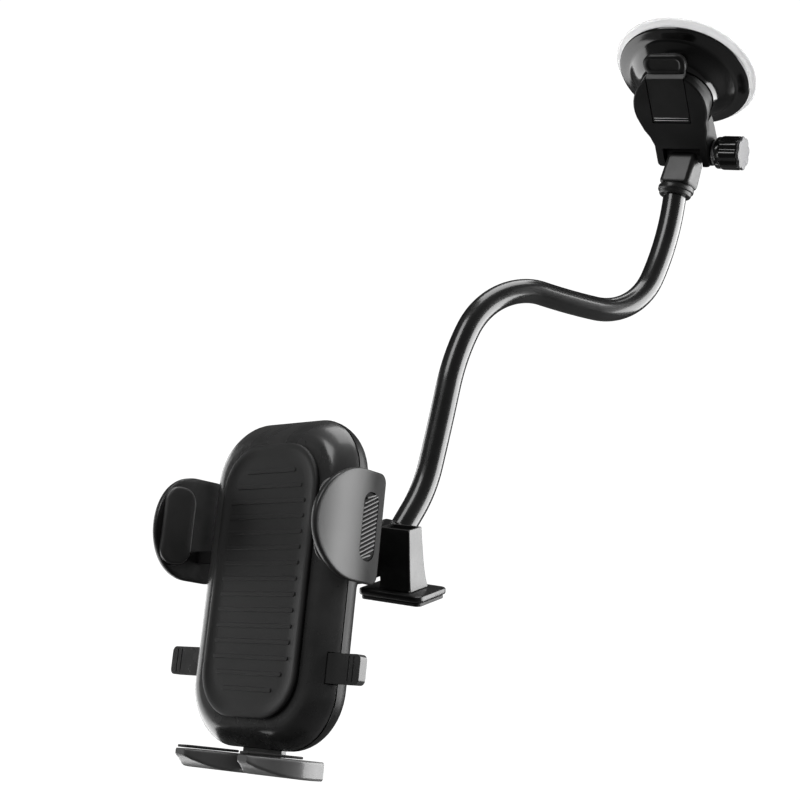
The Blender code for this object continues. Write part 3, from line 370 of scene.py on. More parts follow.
def prism(name, place, outline, low, high, paint, along="Z", **rest):
    """An outline (a, b) pushed along an axis: (x, y) along Z, (x, z) along Y, (y, z) along X."""
    turn = {"Z": lambda a, b, c: (a, b, c),
            "Y": lambda a, b, c: (a, c, b),
            "X": lambda a, b, c: (c, a, b)}
    rings = [[turn[along](a, b, level) for a, b in outline] for level in (low, high)]
    return loft(name, place, rings, paint, **rest)


def smoothed(outline, cut=0.25, rounds=2):
    """Corners of a closed outline or of an open profile cut softly."""
    for _ in range(rounds):
        fresh = []
        for (ax, ay), (bx, by) in zip(outline, outline[1:]):
            fresh.append((ax + (bx - ax) * cut, ay + (by - ay) * cut))
            fresh.append((bx + (ax - bx) * cut, by + (ay - by) * cut))
        outline = [outline[0]] + fresh + [outline[-1]]
    return outline


def carve(target, tool, operation="DIFFERENCE"):
    """Use a tool mesh on a target for good, and drop the tool."""
    step = target.modifiers.new("carve", "BOOLEAN")
    step.operation = operation
    step.solver = "EXACT"
    step.object = tool
    bpy.context.view_layer.update()
    state = bpy.context.evaluated_depsgraph_get()
    solved = bpy.data.meshes.new_from_object(target.evaluated_get(state))
    target.modifiers.remove(step)
    target.data = solved
    for face in solved.polygons:
        face.use_smooth = True
    solved.set_sharp_from_angle(angle=math.radians(35))
    bpy.data.objects.remove(tool)
    return target


# ---------------------------------------------------------------- suction head
def build_cup():
    """Soft clear disc with a thin lip, and a rounded welt where the dome presses on it."""
    profile = [(0, 0), (26.6, 0), (27.2, -0.15), (27.42, -0.6), (27.2, -1.0), (26.5, -1.35)]
    profile += [(25.7, -1.45), (25.3, -1.8), (24.6, -2.05), (23.6, -2.2), (10, -2.5), (0, -2.5)]
    turned("gel_disc", SUCTION, profile, "gel", 160, body="head", nodes=("suction_cup",), slot="clear_gel")


def build_dome():
    """Brim, dished step and raised cone down to the neck."""
    outer = [(24.8, -2.7), (25.25, -2.95), (25.35, -3.35), (25.1, -3.85), (24.6, -4.1), (23.0, -4.45)]
    outer += [(21.3, -4.85), (20.6, -5.3), (20.0, -5.9), (18.9, -7.25), (17.4, -8.75), (15.9, -10.0)]
    outer += [(14.9, -11.0), (14.35, -11.9), (14.1, -12.8)]
    inner = [(2.6, -12.8), (2.6, -11.0), (12.2, -11.0), (14.6, -9.2), (17.0, -7.0), (19.2, -4.6)]
    inner += [(23.2, -3.6), (23.5, -2.7)]
    turned("dome_shell", SUCTION, outer + inner, "dome", 160, body="head", nodes=("suction_dome",),
           slot="gloss_black_plastic", edge=0.12)


def build_lever():
    """Square panel with a groove by its hinge, two light strips by the groove painted on as edge highlights, and a
    pill-shaped thumb tab below the head.
    """
    front = 0.1 - LEVER_PIN_Z
    side = [(5.6, front), (5.6, front + 1.2), (3.2, -2.0), (1.9, -0.2), (1.7, 1.2)]
    side += arc((0, 0), 2.7, 55, 180, 12)
    side += [(-2.8, -1.6), (-11.6, -1.6), (-13.0, -0.2), (-14.8, -0.2), (-14.8, -1.6)]
    side += [(-14.2, -1.6), (-13.2, front + 0.6), (-12.6, front)]
    lever = prism("lever_panel", LEVER, side, -7.3, 7.3, "panel", along="X")
    outline = rounded(TAB_HALF_WIDTH, TAB_HALF, TAB_HALF - 0.2, (0, TAB_Y), 14)
    levels = ((-2.5, 1.5), (-2.46, 0.9), (-2.25, 0.3), (-1.8, 0.0), (-0.4, 0.0), (0.1, 0.25), (0.3, 0.8))
    rings = []
    for height, shrink in levels:
        ring = []
        for x, y in outline:
            x *= (TAB_HALF_WIDTH - shrink) / TAB_HALF_WIDTH
            y = TAB_Y + (y - TAB_Y) * (TAB_HALF - shrink) / TAB_HALF
            ring.append((x, y, height))
        rings.append(ring)
    carve(lever, loft("lever_tab", LEVER, rings, None), "UNION")
    groove = rounded(6.9, 0.28, 0.2, (0, 4.3))
    carve(lever, prism("lever_groove", LEVER, groove, -8, front + 0.4, None))
    # two light grey strips by the groove are painted highlights, standing in for the lit lower edge of the panel
    # and the lit edge of the plate's opening
    for number, y in enumerate((3.85, 4.8)):
        line = rounded(6.8, 0.13, 0.1, (0, y))
        painted_edge_highlight = prism(f"lever_painted_edge_highlight_{number + 1}", LEVER, line, front - 0.05, front + 0.3, "painted_edge_highlight")
        settle(painted_edge_highlight, "suction_lever")
    rings = []
    for height, step in ((-2.6, 0.0), (-2.42, 0.25), (-2.3, 0.9)):
        floor = rounded(6.6 - step, 2.5 - step * 0.8, 2.0 - step * 0.7, (0, TAB_Y - 0.4), 10)
        rings.append([(x, y, height) for x, y in floor])
    carve(lever, loft("tab_dish", LEVER, rings, None))
    slot = rounded(2.4, 4.2, 0.1, (0, 0.7))
    carve(lever, prism("lever_slot", LEVER, slot, -2.7, 5.0, None))
    settle(lever, "suction_lever", ("suction_lever",), 0.22)


def build_knob():
    """Collar, fluted grip and a flat scalloped cap."""
    def flutes(least):
        """Eight flutes, 0.8 mm deep, in the part of a profile that is wider than the least radius."""
        def ripple(angle, radius):
            return -0.8 * (0.5 + 0.5 * math.cos(8 * angle)) ** 2 if radius > least else 0
        return ripple

    knob = [(0, 20.3), (2.3, 20.3), (2.3, 12.1), (5.4, 12.1), (5.8, 12.25), (6.0, 12.6), (6.0, 13.9)]
    knob += [(6.15, 14.15), (6.3, 14.35), (6.4, 14.7), (6.4, 20.7), (6.3, 21.0), (6.1, 21.2), (0, 21.2)]
    turned("knob_grip", PIVOT, knob, "knob", 128, "X", ripple=flutes(6.05), body="clamp_knob",
           nodes=("clamp_knob",), slot="gloss_black_plastic", edge=0.1)
    cap = [(0, 21.3), (6.1, 21.3), (6.35, 21.5), (6.35, 22.1), (6.2, 22.35), (5.9, 22.48), (0, 22.5)]
    turned("knob_face", PIVOT, cap, "cap", 128, "X", ripple=flutes(5.7), body="clamp_knob",
           nodes=("knob_cap",), slot="satin_silver", edge=0.08)


def build_fitting():
    """Barrel in the fork, a stem with a flat face, and a stepped collar."""
    sizes = ((-1.0, 4.6, 3.6), (-2.6, 5.3, 4.5), (-4.2, 5.8, 5.2), (-12.6, 6.1, 5.6),
             (-13.5, 5.9, 5.4), (-14.0, 5.4, 4.9))
    rings = []
    for height, half_x, half_y in sizes:
        outline = rounded(half_x, half_y, min(half_x, half_y) * 0.35)
        lean = FORK_SHIFT * height / FITTING_LENGTH
        rings.append([(x + lean, y, height) for x, y in outline])
    stem = loft("fitting_stem", FITTING, rings, "fitting")
    barrel = [(0, -7.3), (3.6, -7.3), (4.0, -6.9), (4.0, 6.9), (3.6, 7.3), (0, 7.3)]
    carve(stem, turned("fitting_barrel", FITTING, barrel, None, 96, "X"), "UNION")
    carve(stem, turned("fitting_bore", FITTING, [(0, -9), (2.3, -9), (2.3, 9), (0, 9)], None, 48, "X"))
    settle(stem, "neck_root", ("pivot_fitting",), 0.35)
    ring = [(4.6, -14.05), (6.1, -14.05), (6.6, -14.35), (6.8, -14.8), (6.8, -15.9), (6.7, -16.2)]
    ring += [(6.25, -16.3), (6.1, -16.6), (6.1, -17.4), (5.8, -17.9), (4.6, -18.0)]
    turned("neck_collar", FITTING, ring, "fitting", 96, centre=(-FORK_SHIFT, 0, 0), body="neck_root",
           nodes=("upper_collar",), slot="black_plastic", edge=0.1)


# ---------------------------------------------------------------- neck
def neck_path(step=0.5):
    """Stations, centres and headings along the neck, from the collar to the ball."""
    x = z = travelled = 0.0
    heading = math.radians(NECK_START_HEADING)
    path = [(0.0, x, z, heading)]
    for length, end_heading in NECK_STRETCHES:
        count = round(length / step)
        start = heading
        change = math.radians(end_heading) - start
        for i in range(count):
            middle = start + change * (i + 0.5) / count
            x += length / count * math.cos(middle)
            z += length / count * math.sin(middle)
            heading = start + change * (i + 1) / count
            travelled += length / count
            path.append((travelled, x, z, heading))
    return path


NECK_PATH = neck_path()
NECK_LENGTH = NECK_PATH[-1][0]


def on_neck(station):
    """Centre in millimetres, direction and normal at a station, in the neck's frame."""
    if station <= 0:
        before = 0
    else:
        before = max(i for i, row in enumerate(NECK_PATH[:-1]) if row[0] <= station)
    first, second = NECK_PATH[before], NECK_PATH[before + 1]
    share = (station - first[0]) / (second[0] - first[0])
    x = first[1] + (second[1] - first[1]) * share
    z = first[2] + (second[2] - first[2]) * share
    heading = first[3] + (second[3] - first[3]) * max(share, 0.0)
    ahead = Vector((math.cos(heading), 0, math.sin(heading)))
    return Vector((x, 0, z)), ahead, Vector((-ahead.z, 0, ahead.x))


def neck_ring(station, radius):
    """A circle of points around the neck at a station."""
    centre, ahead, normal = on_neck(station)
    side = ahead.cross(normal)
    ring = []
    for k in range(RING_STEPS):
        angle = 2 * math.pi * k / RING_STEPS
        ring.append(centre + radius * (math.cos(angle) * normal + math.sin(angle) * side))
    return ring


def build_sleeves():
    """One rubber sleeve, in six lengths that meet mid-link, each around one joint."""
    ends = [-SLEEVE_LEAD]
    for near, far in zip(BEND_STATIONS, BEND_STATIONS[1:]):
        ends.append((near + far) / 2)
    ends.append(NECK_LENGTH - SLEEVE_END)
    for n, (start, end) in enumerate(zip(ends, ends[1:]), 1):
        count = round((end - start) / 0.8)
        stations = [start + (end - start) * i / count for i in range(count + 1)]
        rings = [neck_ring(station, SLEEVE_RADIUS) for station in stations]
        sleeve = loft(f"sleeve_{n}", NECK, rings, "sleeve", closed=False)
        bend = BEND_STATIONS[n - 1]
        near, far = (NECK @ (on_neck(bend + reach)[0] * MM) for reach in (-BEND_REACH, BEND_REACH))
        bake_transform(sleeve)
        stood_for = ["neck_sleeve_0"] if n == 1 else []
        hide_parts(*stood_for, f"neck_sleeve_{n}")


def build_ball():
    """Ball with the neck's end fitting in it, and the ribbed ring nut around it."""
    meridian = arc((0, 0), BALL_RADIUS, 15, 165, 40)
    ball = [(0, -BALL_RADIUS)] + [(y, -x) for x, y in meridian] + [(2.3, 8.7), (2.3, -2.0), (0, -2.0)]
    turned("ball_visible", STUD, ball, "knob", 96, body="joint_ball", nodes=("joint_ball",),
           slot="black_plastic")
    stud = [(0, -1.7), (2.0, -1.7), (2.0, 9.1), (3.0, 9.35), (3.2, 9.7), (3.2, 11.6), (3.6, 11.9)]
    stud += [(5.1, 12.3), (5.5, 12.7), (5.6, 13.2), (5.6, 16.2), (5.4, 16.6), (5.0, 16.7), (4.6, 16.4)]
    stud += [(4.6, 13.5), (0, 13.5)]
    turned("stud_collar", STUD, stud, "fitting", 96, body="neck_link_6", nodes=("ball_stud",),
           slot="black_plastic", edge=0.12)

    def ribs(angle, radius):
        return -0.6 * (0.5 + 0.5 * math.cos(24 * angle)) if radius > 14.5 else 0

    nut = [(13.0, -6.4), (14.4, -6.4), (14.85, -6.15), (15.0, -5.7), (15.0, 3.9), (14.8, 4.6)]
    nut += [(13.6, 5.85), (13.1, 6.0), (9.9, 6.0), (9.55, 5.8), (9.4, 5.4), (10.2, 3.6), (10.75, 1.0)]
    nut += [(13.0, 0.9)]
    turned("nut_ribbed", BALL, nut, "back", 240, "Y", ripple=ribs, body="ring_nut", nodes=("ring_nut",),
           slot="black_plastic", edge=0.1)


# ---------------------------------------------------------------- dashboard foot
def neck_channel(slide):
    """A bent bar along the neck's lower end, seen from a foot that has slid on it."""
    shift = (CLIP.to_3x3() @ Vector((0, 0, -slide))) * MM
    start, end = 192.0, NECK_LENGTH - 8
    rings = [neck_ring(start + (end - start) * i / 23, 4.9) for i in range(24)]
    return loft("channel", Matrix.Translation(shift) @ NECK, rings, None)


def build_foot():
    """Four-sided tower with sides that flare into the plate, and a ring on its back for the neck."""
    top_z, height = 0.7, 20.3
    top_half, base_half = (6.0, 4.1), (7.5, 5.7)
    levels = 22
    rings = []
    for i in range(levels + 1):
        share = i / levels
        spread = 0.55 * share + 0.45 * share ** 5
        half_x, half_y = (top + (base - top) * spread for top, base in zip(top_half, base_half))
        ring = rounded(half_x, half_y, 0.6)
        rings.append([(x + TOWER_SHIFT, y, top_z - height * share) for x, y in ring])
    tower = loft("tower_shell", TOWER, rings, "tower")
    grip = [(5.0, -7.0), (6.9, -7.0), (7.2, -6.7), (7.2, -1.8), (6.9, -1.5), (5.0, -1.5)]
    carve(tower, turned("grip_ring", CLIP, grip, None, 96), "UNION")
    pocket = rounded(4.9, 3.0, 0.5, (TOWER_SHIFT, 0))
    carve(tower, prism("tower_top", TOWER, pocket, top_z - 3.5, top_z + 2, None))
    bore = [(0, -30), (5.5, -30), (5.5, 30), (0, 30)]
    carve(tower, turned("grip_bore", CLIP, bore, None, 96))
    for slide in (0.0, -2.0, 2.0):
        carve(tower, neck_channel(slide))
    settle(tower, "foot", ("foot_tower",), 0.25)
    low = top_z - 20.6
    half_x, half_y = 12.5, 9.2
    middle = TOWER_SHIFT + 0.8
    plate = rounded(half_x, half_y, 2.6, (middle, 0), 12)
    rings = []
    for drop, shrink in ((0.0, 0.5), (0.12, 0.2), (0.4, 0.0), (1.7, 0.0), (2.0, 0.15), (2.1, 0.4)):
        ring = []
        for x, y in plate:
            x = (x - middle) * (half_x - shrink) / half_x + middle
            ring.append((x, y * (half_y - shrink) / half_y, low - drop))
        rings.append(ring)
    loft("plate_slab", TOWER, rings, "base", body="foot", nodes=("foot_plate",), slot="black_plastic")
    pad = rounded(half_x - 0.8, half_y - 0.8, 2.0, (middle, 0), 10)
    sole = prism("sole_pad", TOWER, pad, low - 3.6, low - 2.4, "pad")
    settle(sole, "foot", ("foot_pad",), 0.25)


# ---------------------------------------------------------------- cradle
def body_outline(inset):
    """The body's outline (x, z) with slightly bowed sides, drawn in by an inset."""
    half, radius = 32.5 - inset, 19.0 - inset * 0.8
    low, high = 1.0 + inset, 107.0 - inset
    middle = (low + high) / 2
    outline = []
    for x, z in rounded(half - 0.8, (high - low) / 2, radius, (0, middle), 16):
        bow = 0.8 * (1 - ((z - middle) / (high - middle)) ** 2)
        outline.append((x + math.copysign(bow, x) if abs(x) > 3 else x, z))
    return outline


def pan(name, levels, paint):
    """A cover of the body, skinned over levels of (y, inset)."""
    rings = [[(x, y, z) for x, z in body_outline(inset)] for y, inset in levels]
    return loft(name, CRADLE, rings, paint)


def block(name, low, high):
    """A box between two corners in the cradle's frame."""
    outline = [(low[0], low[2]), (high[0], low[2]), (high[0], high[2]), (low[0], high[2])]
    return prism(name, CRADLE, outline, low[1], high[1], None, along="Y")


def build_body():
    """Front cover with openings for the bars and tabs, and back cover with the ball's boss."""
    levels = smoothed([(1.5, 9.0), (1.5, 7.4), (2.0, 5.3), (4.4, 2.6), (7.0, 0.7), (8.4, 0.2)])
    inside = [(8.4, 2.0), (6.8, 2.4), (5.0, 4.2), (3.4, 6.8)]
    front = pan("cover_front", levels + inside, "cover")
    windows = (((20, 4.9, 75.6), (40, 8.9, 82.4)), ((-40, 4.9, 58.6), (-20, 8.9, 66.4)),
               ((20, 4.9, 22.2), (40, 8.9, 32.1)), ((-40, 4.9, 22.2), (-20, 8.9, 32.1)))
    for low, high in windows:
        carve(front, block("window", low, high))
    settle(front, "cradle", ("front_cover",), 0.18)
    levels = smoothed([(16.5, 8.0), (16.5, 6.2), (16.1, 3.8), (14.0, 1.3), (11.0, 0.1), (8.7, 0.0)])
    back = pan("cover_back", levels + [(8.7, 1.8), (12.6, 2.4), (14.7, 6.0)], "back")
    ball_y, ball_z = BALL_IN_CRADLE[1:]
    boss = [(0, 15.6), (13.9, 15.6), (13.4, 16.4), (12.8, 17.2), (12.6, 18.0), (12.6, ball_y + 0.4)]
    boss += [(0, ball_y + 0.4)]
    carve(back, turned("boss", CRADLE, boss, None, 96, "Y", (0, 0, ball_z)), "UNION")
    hollow = [(0, ball_y - 10.75)] + [(y, ball_y - x) for x, y in arc((0, 0), 10.75, 15, 90, 24)]
    hollow += [(10.75, 40), (0, 40)]
    carve(back, turned("hollow", CRADLE, hollow, None, 96, "Y", (0, 0, ball_z)))
    for x, z in ((-19, 92), (19, 14)):
        seat = [(0, 10), (1.5, 10), (1.5, 15.4), (2.6, 15.5), (2.6, 20), (0, 20)]
        carve(back, turned("seat", CRADLE, seat, None, 40, "Y", (x, 0, z)))
    for z in (76, 80, 84, 88):
        outline = rounded(11 - abs(z - 82) * 0.3, 0.7, 0.6, (0, z + 4), 4)
        carve(back, prism("vent", CRADLE, outline, 15.9, 18, None, along="Y"))
    carve(back, block("rest_slot", (-9.4, 9.9, -2), (9.4, 12.6, 6)))
    settle(back, "cradle", ("back_cover",), 0.2)


def build_front_pad():
    """Soft pad with a rolled rim, a sunken field and raised grip bars."""
    def ring(y, inset):
        return [(x, y, z) for x, z in rounded(22 - inset, 44 - inset, 15 - inset * 0.9, (0, 54), 12)]

    levels = ((1.2, 0.0), (0.5, 0.0), (0.15, 0.2), (0.02, 0.7), (0.02, 2.0), (0.25, 2.6), (0.25, 6.0))
    pad = loft("pad_front", CRADLE, [ring(y, inset) for y, inset in levels], "pad")
    settle(pad, "cradle", ("cradle_pad",))
    for i in range(15):
        z = 54 + (i - 7) * 5.0
        half = 17.5 if abs(z - 54) < 27 else 17.5 - (abs(z - 54) - 27) * 0.75
        outline = rounded(half, 0.7, 0.65, (0, z), 4)
        bar = prism(f"pad_bar_{i:02d}", CRADLE, outline, 0.03, 0.5, "pad", along="Y")
        settle(bar, "cradle", edge=0.2)


def arm_outline(shrink=0.0):
    """The arm's side view (y, z): a round front edge and a squarer back edge."""
    low, high = ARM_Z - ARM_HALF_HEIGHT, ARM_Z + ARM_HALF_HEIGHT
    corner = 3.2
    outline = []
    for y, z in arc((0, 0), 1.0, 90, 270, 48):
        outline.append((2.6 + (17.4 - shrink) * y, ARM_Z + (ARM_HALF_HEIGHT - shrink) * z))
    outline += arc((10.6, low + corner), corner - shrink, -90, 0, 8)
    outline += arc((10.6, high - corner), corner - shrink, 0, 90, 8)
    return outline


def arm_surface(y, side):
    """Distance of an arm's bowed outer face from the cradle's middle."""
    return side * (40.6 - (y - 1.0) ** 2 / 128)


def rack_outline(side):
    """An arm's bar (x, z): gear teeth towards the pinion, and latch teeth below the left bar."""
    addendum, dedendum, slope, backlash = 0.75, 1.1, math.tan(math.radians(25)), 0.32
    half = (TOOTH_PITCH / 2 - backlash) / 2
    teeth = []
    for index in range(-5, 4):
        middle = (index + 0.5) * TOOTH_PITCH
        tooth = ((-half - dedendum * slope, -dedendum), (addendum * slope - half, addendum),
                 (half - addendum * slope, addendum), (half + dedendum * slope, -dedendum))
        for shift, height in tooth:
            teeth.append((side * (middle + shift), ARM_Z + side * (PINION_RADIUS - height)))
    outer = ARM_Z + side * 11
    bar = [(-16.5 * side, outer), (-16.5 * side, teeth[0][1])] + teeth
    bar += [(38.9 * side, teeth[0][1]), (38.9 * side, outer)]
    if side < 0:
        for i in range(9):
            x = -9.6 + 2.0 * i
            bar += [(x, outer), (x, outer - 0.8), (x + 1.6, outer)]
    return bar


def build_arm(side, name):
    """A bowed side shell with a recess for its grip, its rack bar, and a soft pad inside."""
    body = f"{name}_arm"
    depths = [(0.0, 0.7, scale) for scale in (0.1, 0.25, 0.4, 0.55, 0.7, 0.85, 0.95, 1.0)]
    depths += [(0.06, 0.35, 1.0), (0.22, 0.1, 1.0), (0.5, 0.0, 1.0), (1.7, 0.0, 1.0), (2.0, 0.15, 1.0)]
    depths += [(2.2, 0.5, scale) for scale in (1.0, 0.92, 0.6, 0.3, 0.1)]
    rings = []
    for depth, shrink, scale in depths:
        ring = []
        for y, z in arm_outline(shrink):
            y = (y + 1.0) * scale - 1.0
            ring.append((arm_surface(y, side) - side * depth, y, ARM_Z + (z - ARM_Z) * scale))
        rings.append(ring)
    arm = loft(f"{name}_shell", CRADLE, rings, "arm")
    low, high = sorted((side * 39.4, side * 44))
    oval = rounded(3.6, 10.8, 3.5, (GRIP_Y, ARM_Z), 16)
    carve(arm, prism("recess", CRADLE, oval, low, high, None, along="X"))
    carve(arm, prism("bar", CRADLE, rack_outline(side), *BAR_Y, None, along="Y"), "UNION")
    arm.data.materials.clear()
    arm.data.materials.append(PAINT["arm"])
    settle(arm, body, (f"{name}_arm",))
    build_grip(side, name, body)
    half_y, half_z = 6.4, 13.0
    outline = rounded(half_y, half_z, 5.4, (ARM_PAD_Y, ARM_Z), 12)
    rings = []
    for depth, shrink in ((0.0, 0.9), (0.08, 0.45), (0.3, 0.12), (0.7, 0.0), (None, 0.0)):
        ring = []
        for y, z in outline:
            y = ARM_PAD_Y + (y - ARM_PAD_Y) * (half_y - shrink) / half_y
            z = ARM_Z + (z - ARM_Z) * (half_z - shrink) / half_z
            if depth is None:
                x = arm_surface(y, side) - side * 2.25
            else:
                x = side * (PHONE_HALF_WIDTH + depth)
            ring.append((x, y, z))
        rings.append(ring)
    loft(f"{name}_inner", CRADLE, rings, "inner", body=body, nodes=(f"{name}_arm_pad",),
         slot="black_rubber")


def build_grip(side, name, body):
    """Oval grip with slanted ribs inside a thin rim."""
    low, high = sorted((side * 39.5, side * 39.75))
    oval = rounded(3.45, 10.65, 3.35, (GRIP_Y, ARM_Z), 16)
    floor = prism(f"{name}_grip_floor", CRADLE, oval, low, high, "grip", along="X")
    settle(floor, body, (f"{name}_grip",), 0.05)
    count, pitch, slant = 15, 1.38, 0.55
    round_end, limit = 3.0, 10.1
    for i in range(count):
        middle = ARM_Z + (i - (count - 1) / 2) * pitch
        half = 3.1
        reach = 10.3 - abs(middle - ARM_Z)
        if reach < round_end:
            half = max(1.2, math.sqrt(max(0.1, round_end ** 2 - (round_end - reach) ** 2)))
        points = []
        for end in (-1, 1):
            y = GRIP_Y + end * half
            z = middle + end * half * slant
            z = max(ARM_Z - limit, min(ARM_Z + limit, z))
            for up, out in ((-0.42, 0.0), (-0.2, 0.5), (0.2, 0.5), (0.42, 0.0)):
                points.append((side * (39.7 + out), y, z + up))
        faces = [(0, 1, 5, 4), (1, 2, 6, 5), (2, 3, 7, 6), (3, 0, 4, 7), (3, 2, 1, 0), (4, 5, 6, 7)]
        piece(f"{name}_rib_{i:02d}", CRADLE, points, faces, "inner", body=body, slot="black_rubber",
              edge=0.1)


def build_buttons():
    """Release tabs: a flat tongue with a rounded end and two fine grooves."""
    for side, name in ((1, "right"), (-1, "left")):
        outline = [(15.0, 22.5), (15.0, 17.0), (14.0, 17.0), (9.5, 21.5), (9.5, 31.8)]
        outline += arc((42.2, 30.0), 1.8, 90, 0, 6) + arc((42.2, 24.3), 1.8, 0, -90, 6)
        outline = [(side * x, z) for x, z in outline]
        tab = prism(f"tab_{name}", CRADLE, outline, *BAR_Y, "cover", along="Y")
        for x in (39.2, 41.2):
            groove = rounded(0.22, 3.9, 0.18, (side * x, 27.15), 4)
            carve(tab, prism("groove", CRADLE, groove, 4.0, 5.45, None, along="Y"))
        settle(tab, f"release_button_{name}", (f"release_button_{name}",), 0.22)


def build_rest():
    """Slider with a cross bar and two forward feet that sweep up to their tips."""
    slider = block("rest_slider", (-9, 10.2, -6.0), (9, 12.2, 48))
    bar = prism("rest_bar", CRADLE, rounded(26, 1.2, 0.9, (0, 11.1), 6), -6.9, -1.1, None)
    carve(slider, bar, "UNION")
    top = -1.1
    shape = (                      # along the foot: place, half width and underside
        (12.0, 12.0, -6.9), (8.0, 12.05, -6.95), (4.0, 12.0, -6.9), (1.4, 11.3, -6.8),
        (-1.0, 10.0, -6.6), (-3.0, 8.4, -6.2), (-5.0, 6.6, -5.6), (-6.8, 5.1, -5.0),
        (-8.5, 3.8, -4.4), (-9.6, 3.2, -3.9), (-10.4, 2.8, -3.6), (-11.0, 2.35, -3.2),
        (-11.3, 2.0, -3.0),
    )
    for side, name in ((1, "right"), (-1, "left")):
        rings = []
        middle = side * REST_FOOT_X
        for y, half, low in shape:
            tall = (top - low) / 2
            ring = rounded(half, tall, min(0.9, tall * 0.6), (middle, low + tall), 5)
            rings.append([(x, y, z) for x, z in ring])
        carve(slider, loft("rest_foot", CRADLE, rings, None), "UNION")
        pad = [(middle + half - 0.8, max(-10.7, y - 0.4)) for y, half, _ in shape[2:]]
        pad += [(2 * middle - x, y) for x, y in reversed(pad)]
        sole = prism(f"rest_pad_{name}", CRADLE, pad, -0.8, 0.0, "pad")
        settle(sole, "phone_rest", (f"foot_{name}_pad",), 0.25)
    slider.data.materials.clear()
    slider.data.materials.append(PAINT["rest"])
    settle(slider, "phone_rest", ("foot_slider",), 0.3)


# ---------------------------------------------------------------- kept CAD nodes
KEPT = {
    "plate": ("bracket",),
    "steel": ("dome_screw_1", "dome_screw_2", "draw_rod", "rod_spring", "lever_pin", "clamp_bolt",
              "clamp_nut", "clamp_washer", "cover_screw_1", "cover_screw_2", "pinion_pin", "arm_spring",
              "latch_spring"),
    "nylon": ("ball_liner", "pinion", "latch_pawl"),
    "sleeve": ("foot_clip",),
}


def dress_cad_nodes():
    """Node materials for the CAD nodes that stay in view, and softer edges on the bracket."""
    cores = {"steel": tuple(f"neck_core_{n}" for n in range(7))}
    for group in (KEPT, cores):
        for paint, names in group.items():
            for name in names:
                kept = frame["nodes"][name]
                kept.data.materials.clear()
                kept.data.materials.append(PAINT[paint])
    plate = frame["nodes"]["bracket"]
    plate.modifiers.new("joined", "WELD").merge_threshold = 0.00002
    flat = plate.modifiers.new("flat", "DECIMATE")
    flat.decimate_type = "DISSOLVE"
    flat.angle_limit = math.radians(2)
    soften(plate, 0.2)


# ---------------------------------------------------------------- studio
def build_sweep(lowest):
    """Pale floor that curves up into a backdrop, so that no horizon shows."""
    floor_z = lowest - 0.55
    profile = [(-3.0, 0.0), (0.6, 0.0)] + [(x, z) for x, z in arc((0.6, 0.9), 0.9, -90, 0, 24)]
    profile += [(1.5, 3.2)]
    points, faces = [], []
    for y, z in profile:
        points += [(-4.0, y, z + floor_z), (4.0, y, z + floor_z)]
    for i in range(len(profile) - 1):
        faces.append((2 * i, 2 * i + 1, 2 * i + 3, 2 * i + 2))
    mesh = bpy.data.meshes.new("sweep")
    mesh.from_pydata(points, [], faces)
    for face in mesh.polygons:
        face.use_smooth = True
    sweep = bpy.data.objects.new("sweep", mesh)
    sweep.rotation_euler = (0, 0, math.radians(42.6))
    bpy.context.scene.collection.objects.link(sweep)
    paper = bpy.data.materials.new("paper")
    paper.use_nodes = True
    tree = paper.node_tree
    shader = tree.nodes["Principled BSDF"]
    shader.inputs["Base Color"].default_value = (0.14, 0.14, 0.14, 1)
    shader.inputs["Roughness"].default_value = 0.9
    shader.inputs["Emission Color"].default_value = (1, 1, 1, 1)
    seen = tree.nodes.new("ShaderNodeLightPath").outputs["Is Camera Ray"]
    tree.links.new(seen, shader.inputs["Emission Strength"])
    mesh.materials.append(paper)


def soft_light(name, place, target, size, power):
    """A rectangular light of a size in metres and a power in watts, turned to a target."""
    light = bpy.data.lights.new(name, "AREA")
    light.shape = "RECTANGLE"
    light.size, light.size_y = size
    light.energy = power
    lamp = bpy.data.objects.new(name, light)
    lamp.location = place
    lamp.rotation_euler = (Vector(target) - Vector(place)).to_track_quat("-Z", "Y").to_euler()
    bpy.context.scene.collection.objects.link(lamp)
    return lamp


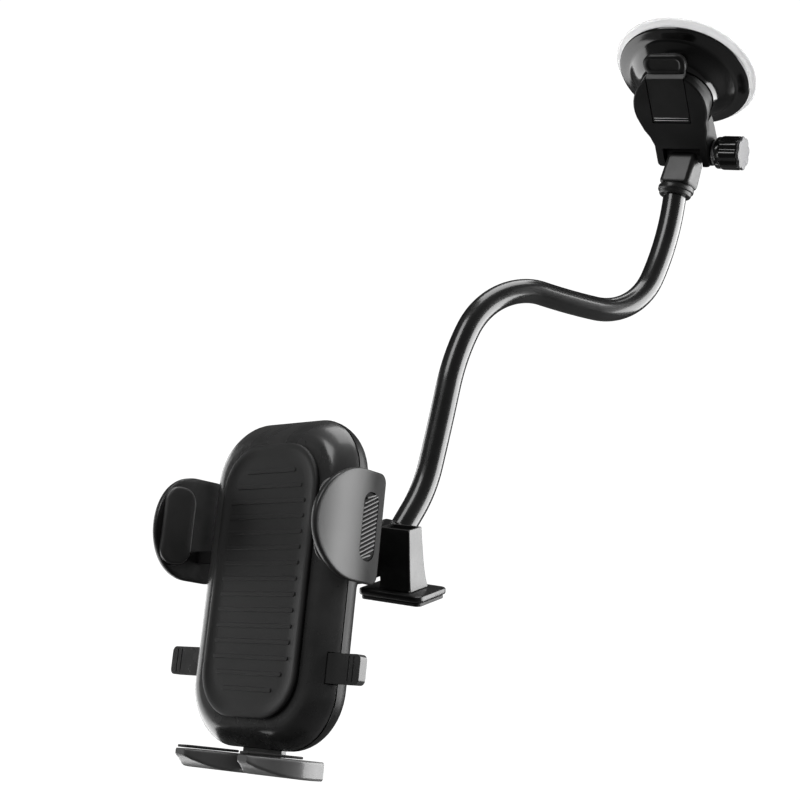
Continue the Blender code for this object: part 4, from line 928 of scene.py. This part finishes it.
def build_studio():
    """Soft panels to the viewer's right and behind on the left, a small one high in front, and one
    overhead, with a weak even light around them.
    """
    bpy.context.scene.view_settings.view_transform = "Standard"
    low, high = (Vector(corner) for corner in cad_box)
    build_sweep(low.z)
    middle = (low + high) / 2
    soft_light("key_right", middle + Vector((0.55, 0.62, 0.05)), middle, (0.90, 1.0), 19)
    soft_light("fill_left", middle + Vector((-0.76, -0.08, -0.18)), middle, (0.80, 0.9), 5.5)
    head = middle + Vector((0.04, 0.08, 0.08))
    soft_light("front_high", middle + Vector((-0.06, -0.58, 0.52)), head, (0.35, 0.35), 1.8)
    soft_light("top", middle + Vector((0.05, 0.10, 0.85)), middle, (0.7, 0.7), 6)
    world = bpy.data.worlds.new("studio")
    world.use_nodes = True
    tree = world.node_tree
    backdrop = tree.nodes["Background"]
    backdrop.inputs["Color"].default_value = (1, 1, 1, 1)
    level = node(tree, "MapRange")
    level.inputs["To Min"].default_value = 0.10
    level.inputs["To Max"].default_value = 0.95
    seen = tree.nodes.new("ShaderNodeLightPath").outputs["Is Camera Ray"]
    tree.links.new(seen, level.inputs["Value"])
    tree.links.new(level.outputs["Result"], backdrop.inputs["Strength"])
    bpy.context.scene.world = world


def build_camera():
    """The view of the object from its lower front right."""
    camera = bpy.data.cameras.new("camera")
    camera.lens = LENS
    camera.sensor_width = 36.0
    camera.clip_start = 0.01
    viewer = bpy.data.objects.new("camera", camera)
    ahead = Vector(CAMERA_AHEAD).normalized()
    right = ahead.cross(Vector(CAMERA_UP)).normalized()
    turn = Matrix((right, right.cross(ahead), -ahead)).transposed()
    viewer.matrix_world = Matrix.Translation(CAMERA_PLACE) @ turn.to_4x4()
    bpy.context.scene.collection.objects.link(viewer)
    bpy.context.scene.camera = viewer


build_cup()
build_dome()
build_lever()
build_knob()
build_fitting()
build_sleeves()
build_ball()
build_foot()
build_body()
build_front_pad()
build_arm(1, "right")
build_arm(-1, "left")
build_buttons()
build_rest()
dress_cad_nodes()
build_studio()
build_camera()
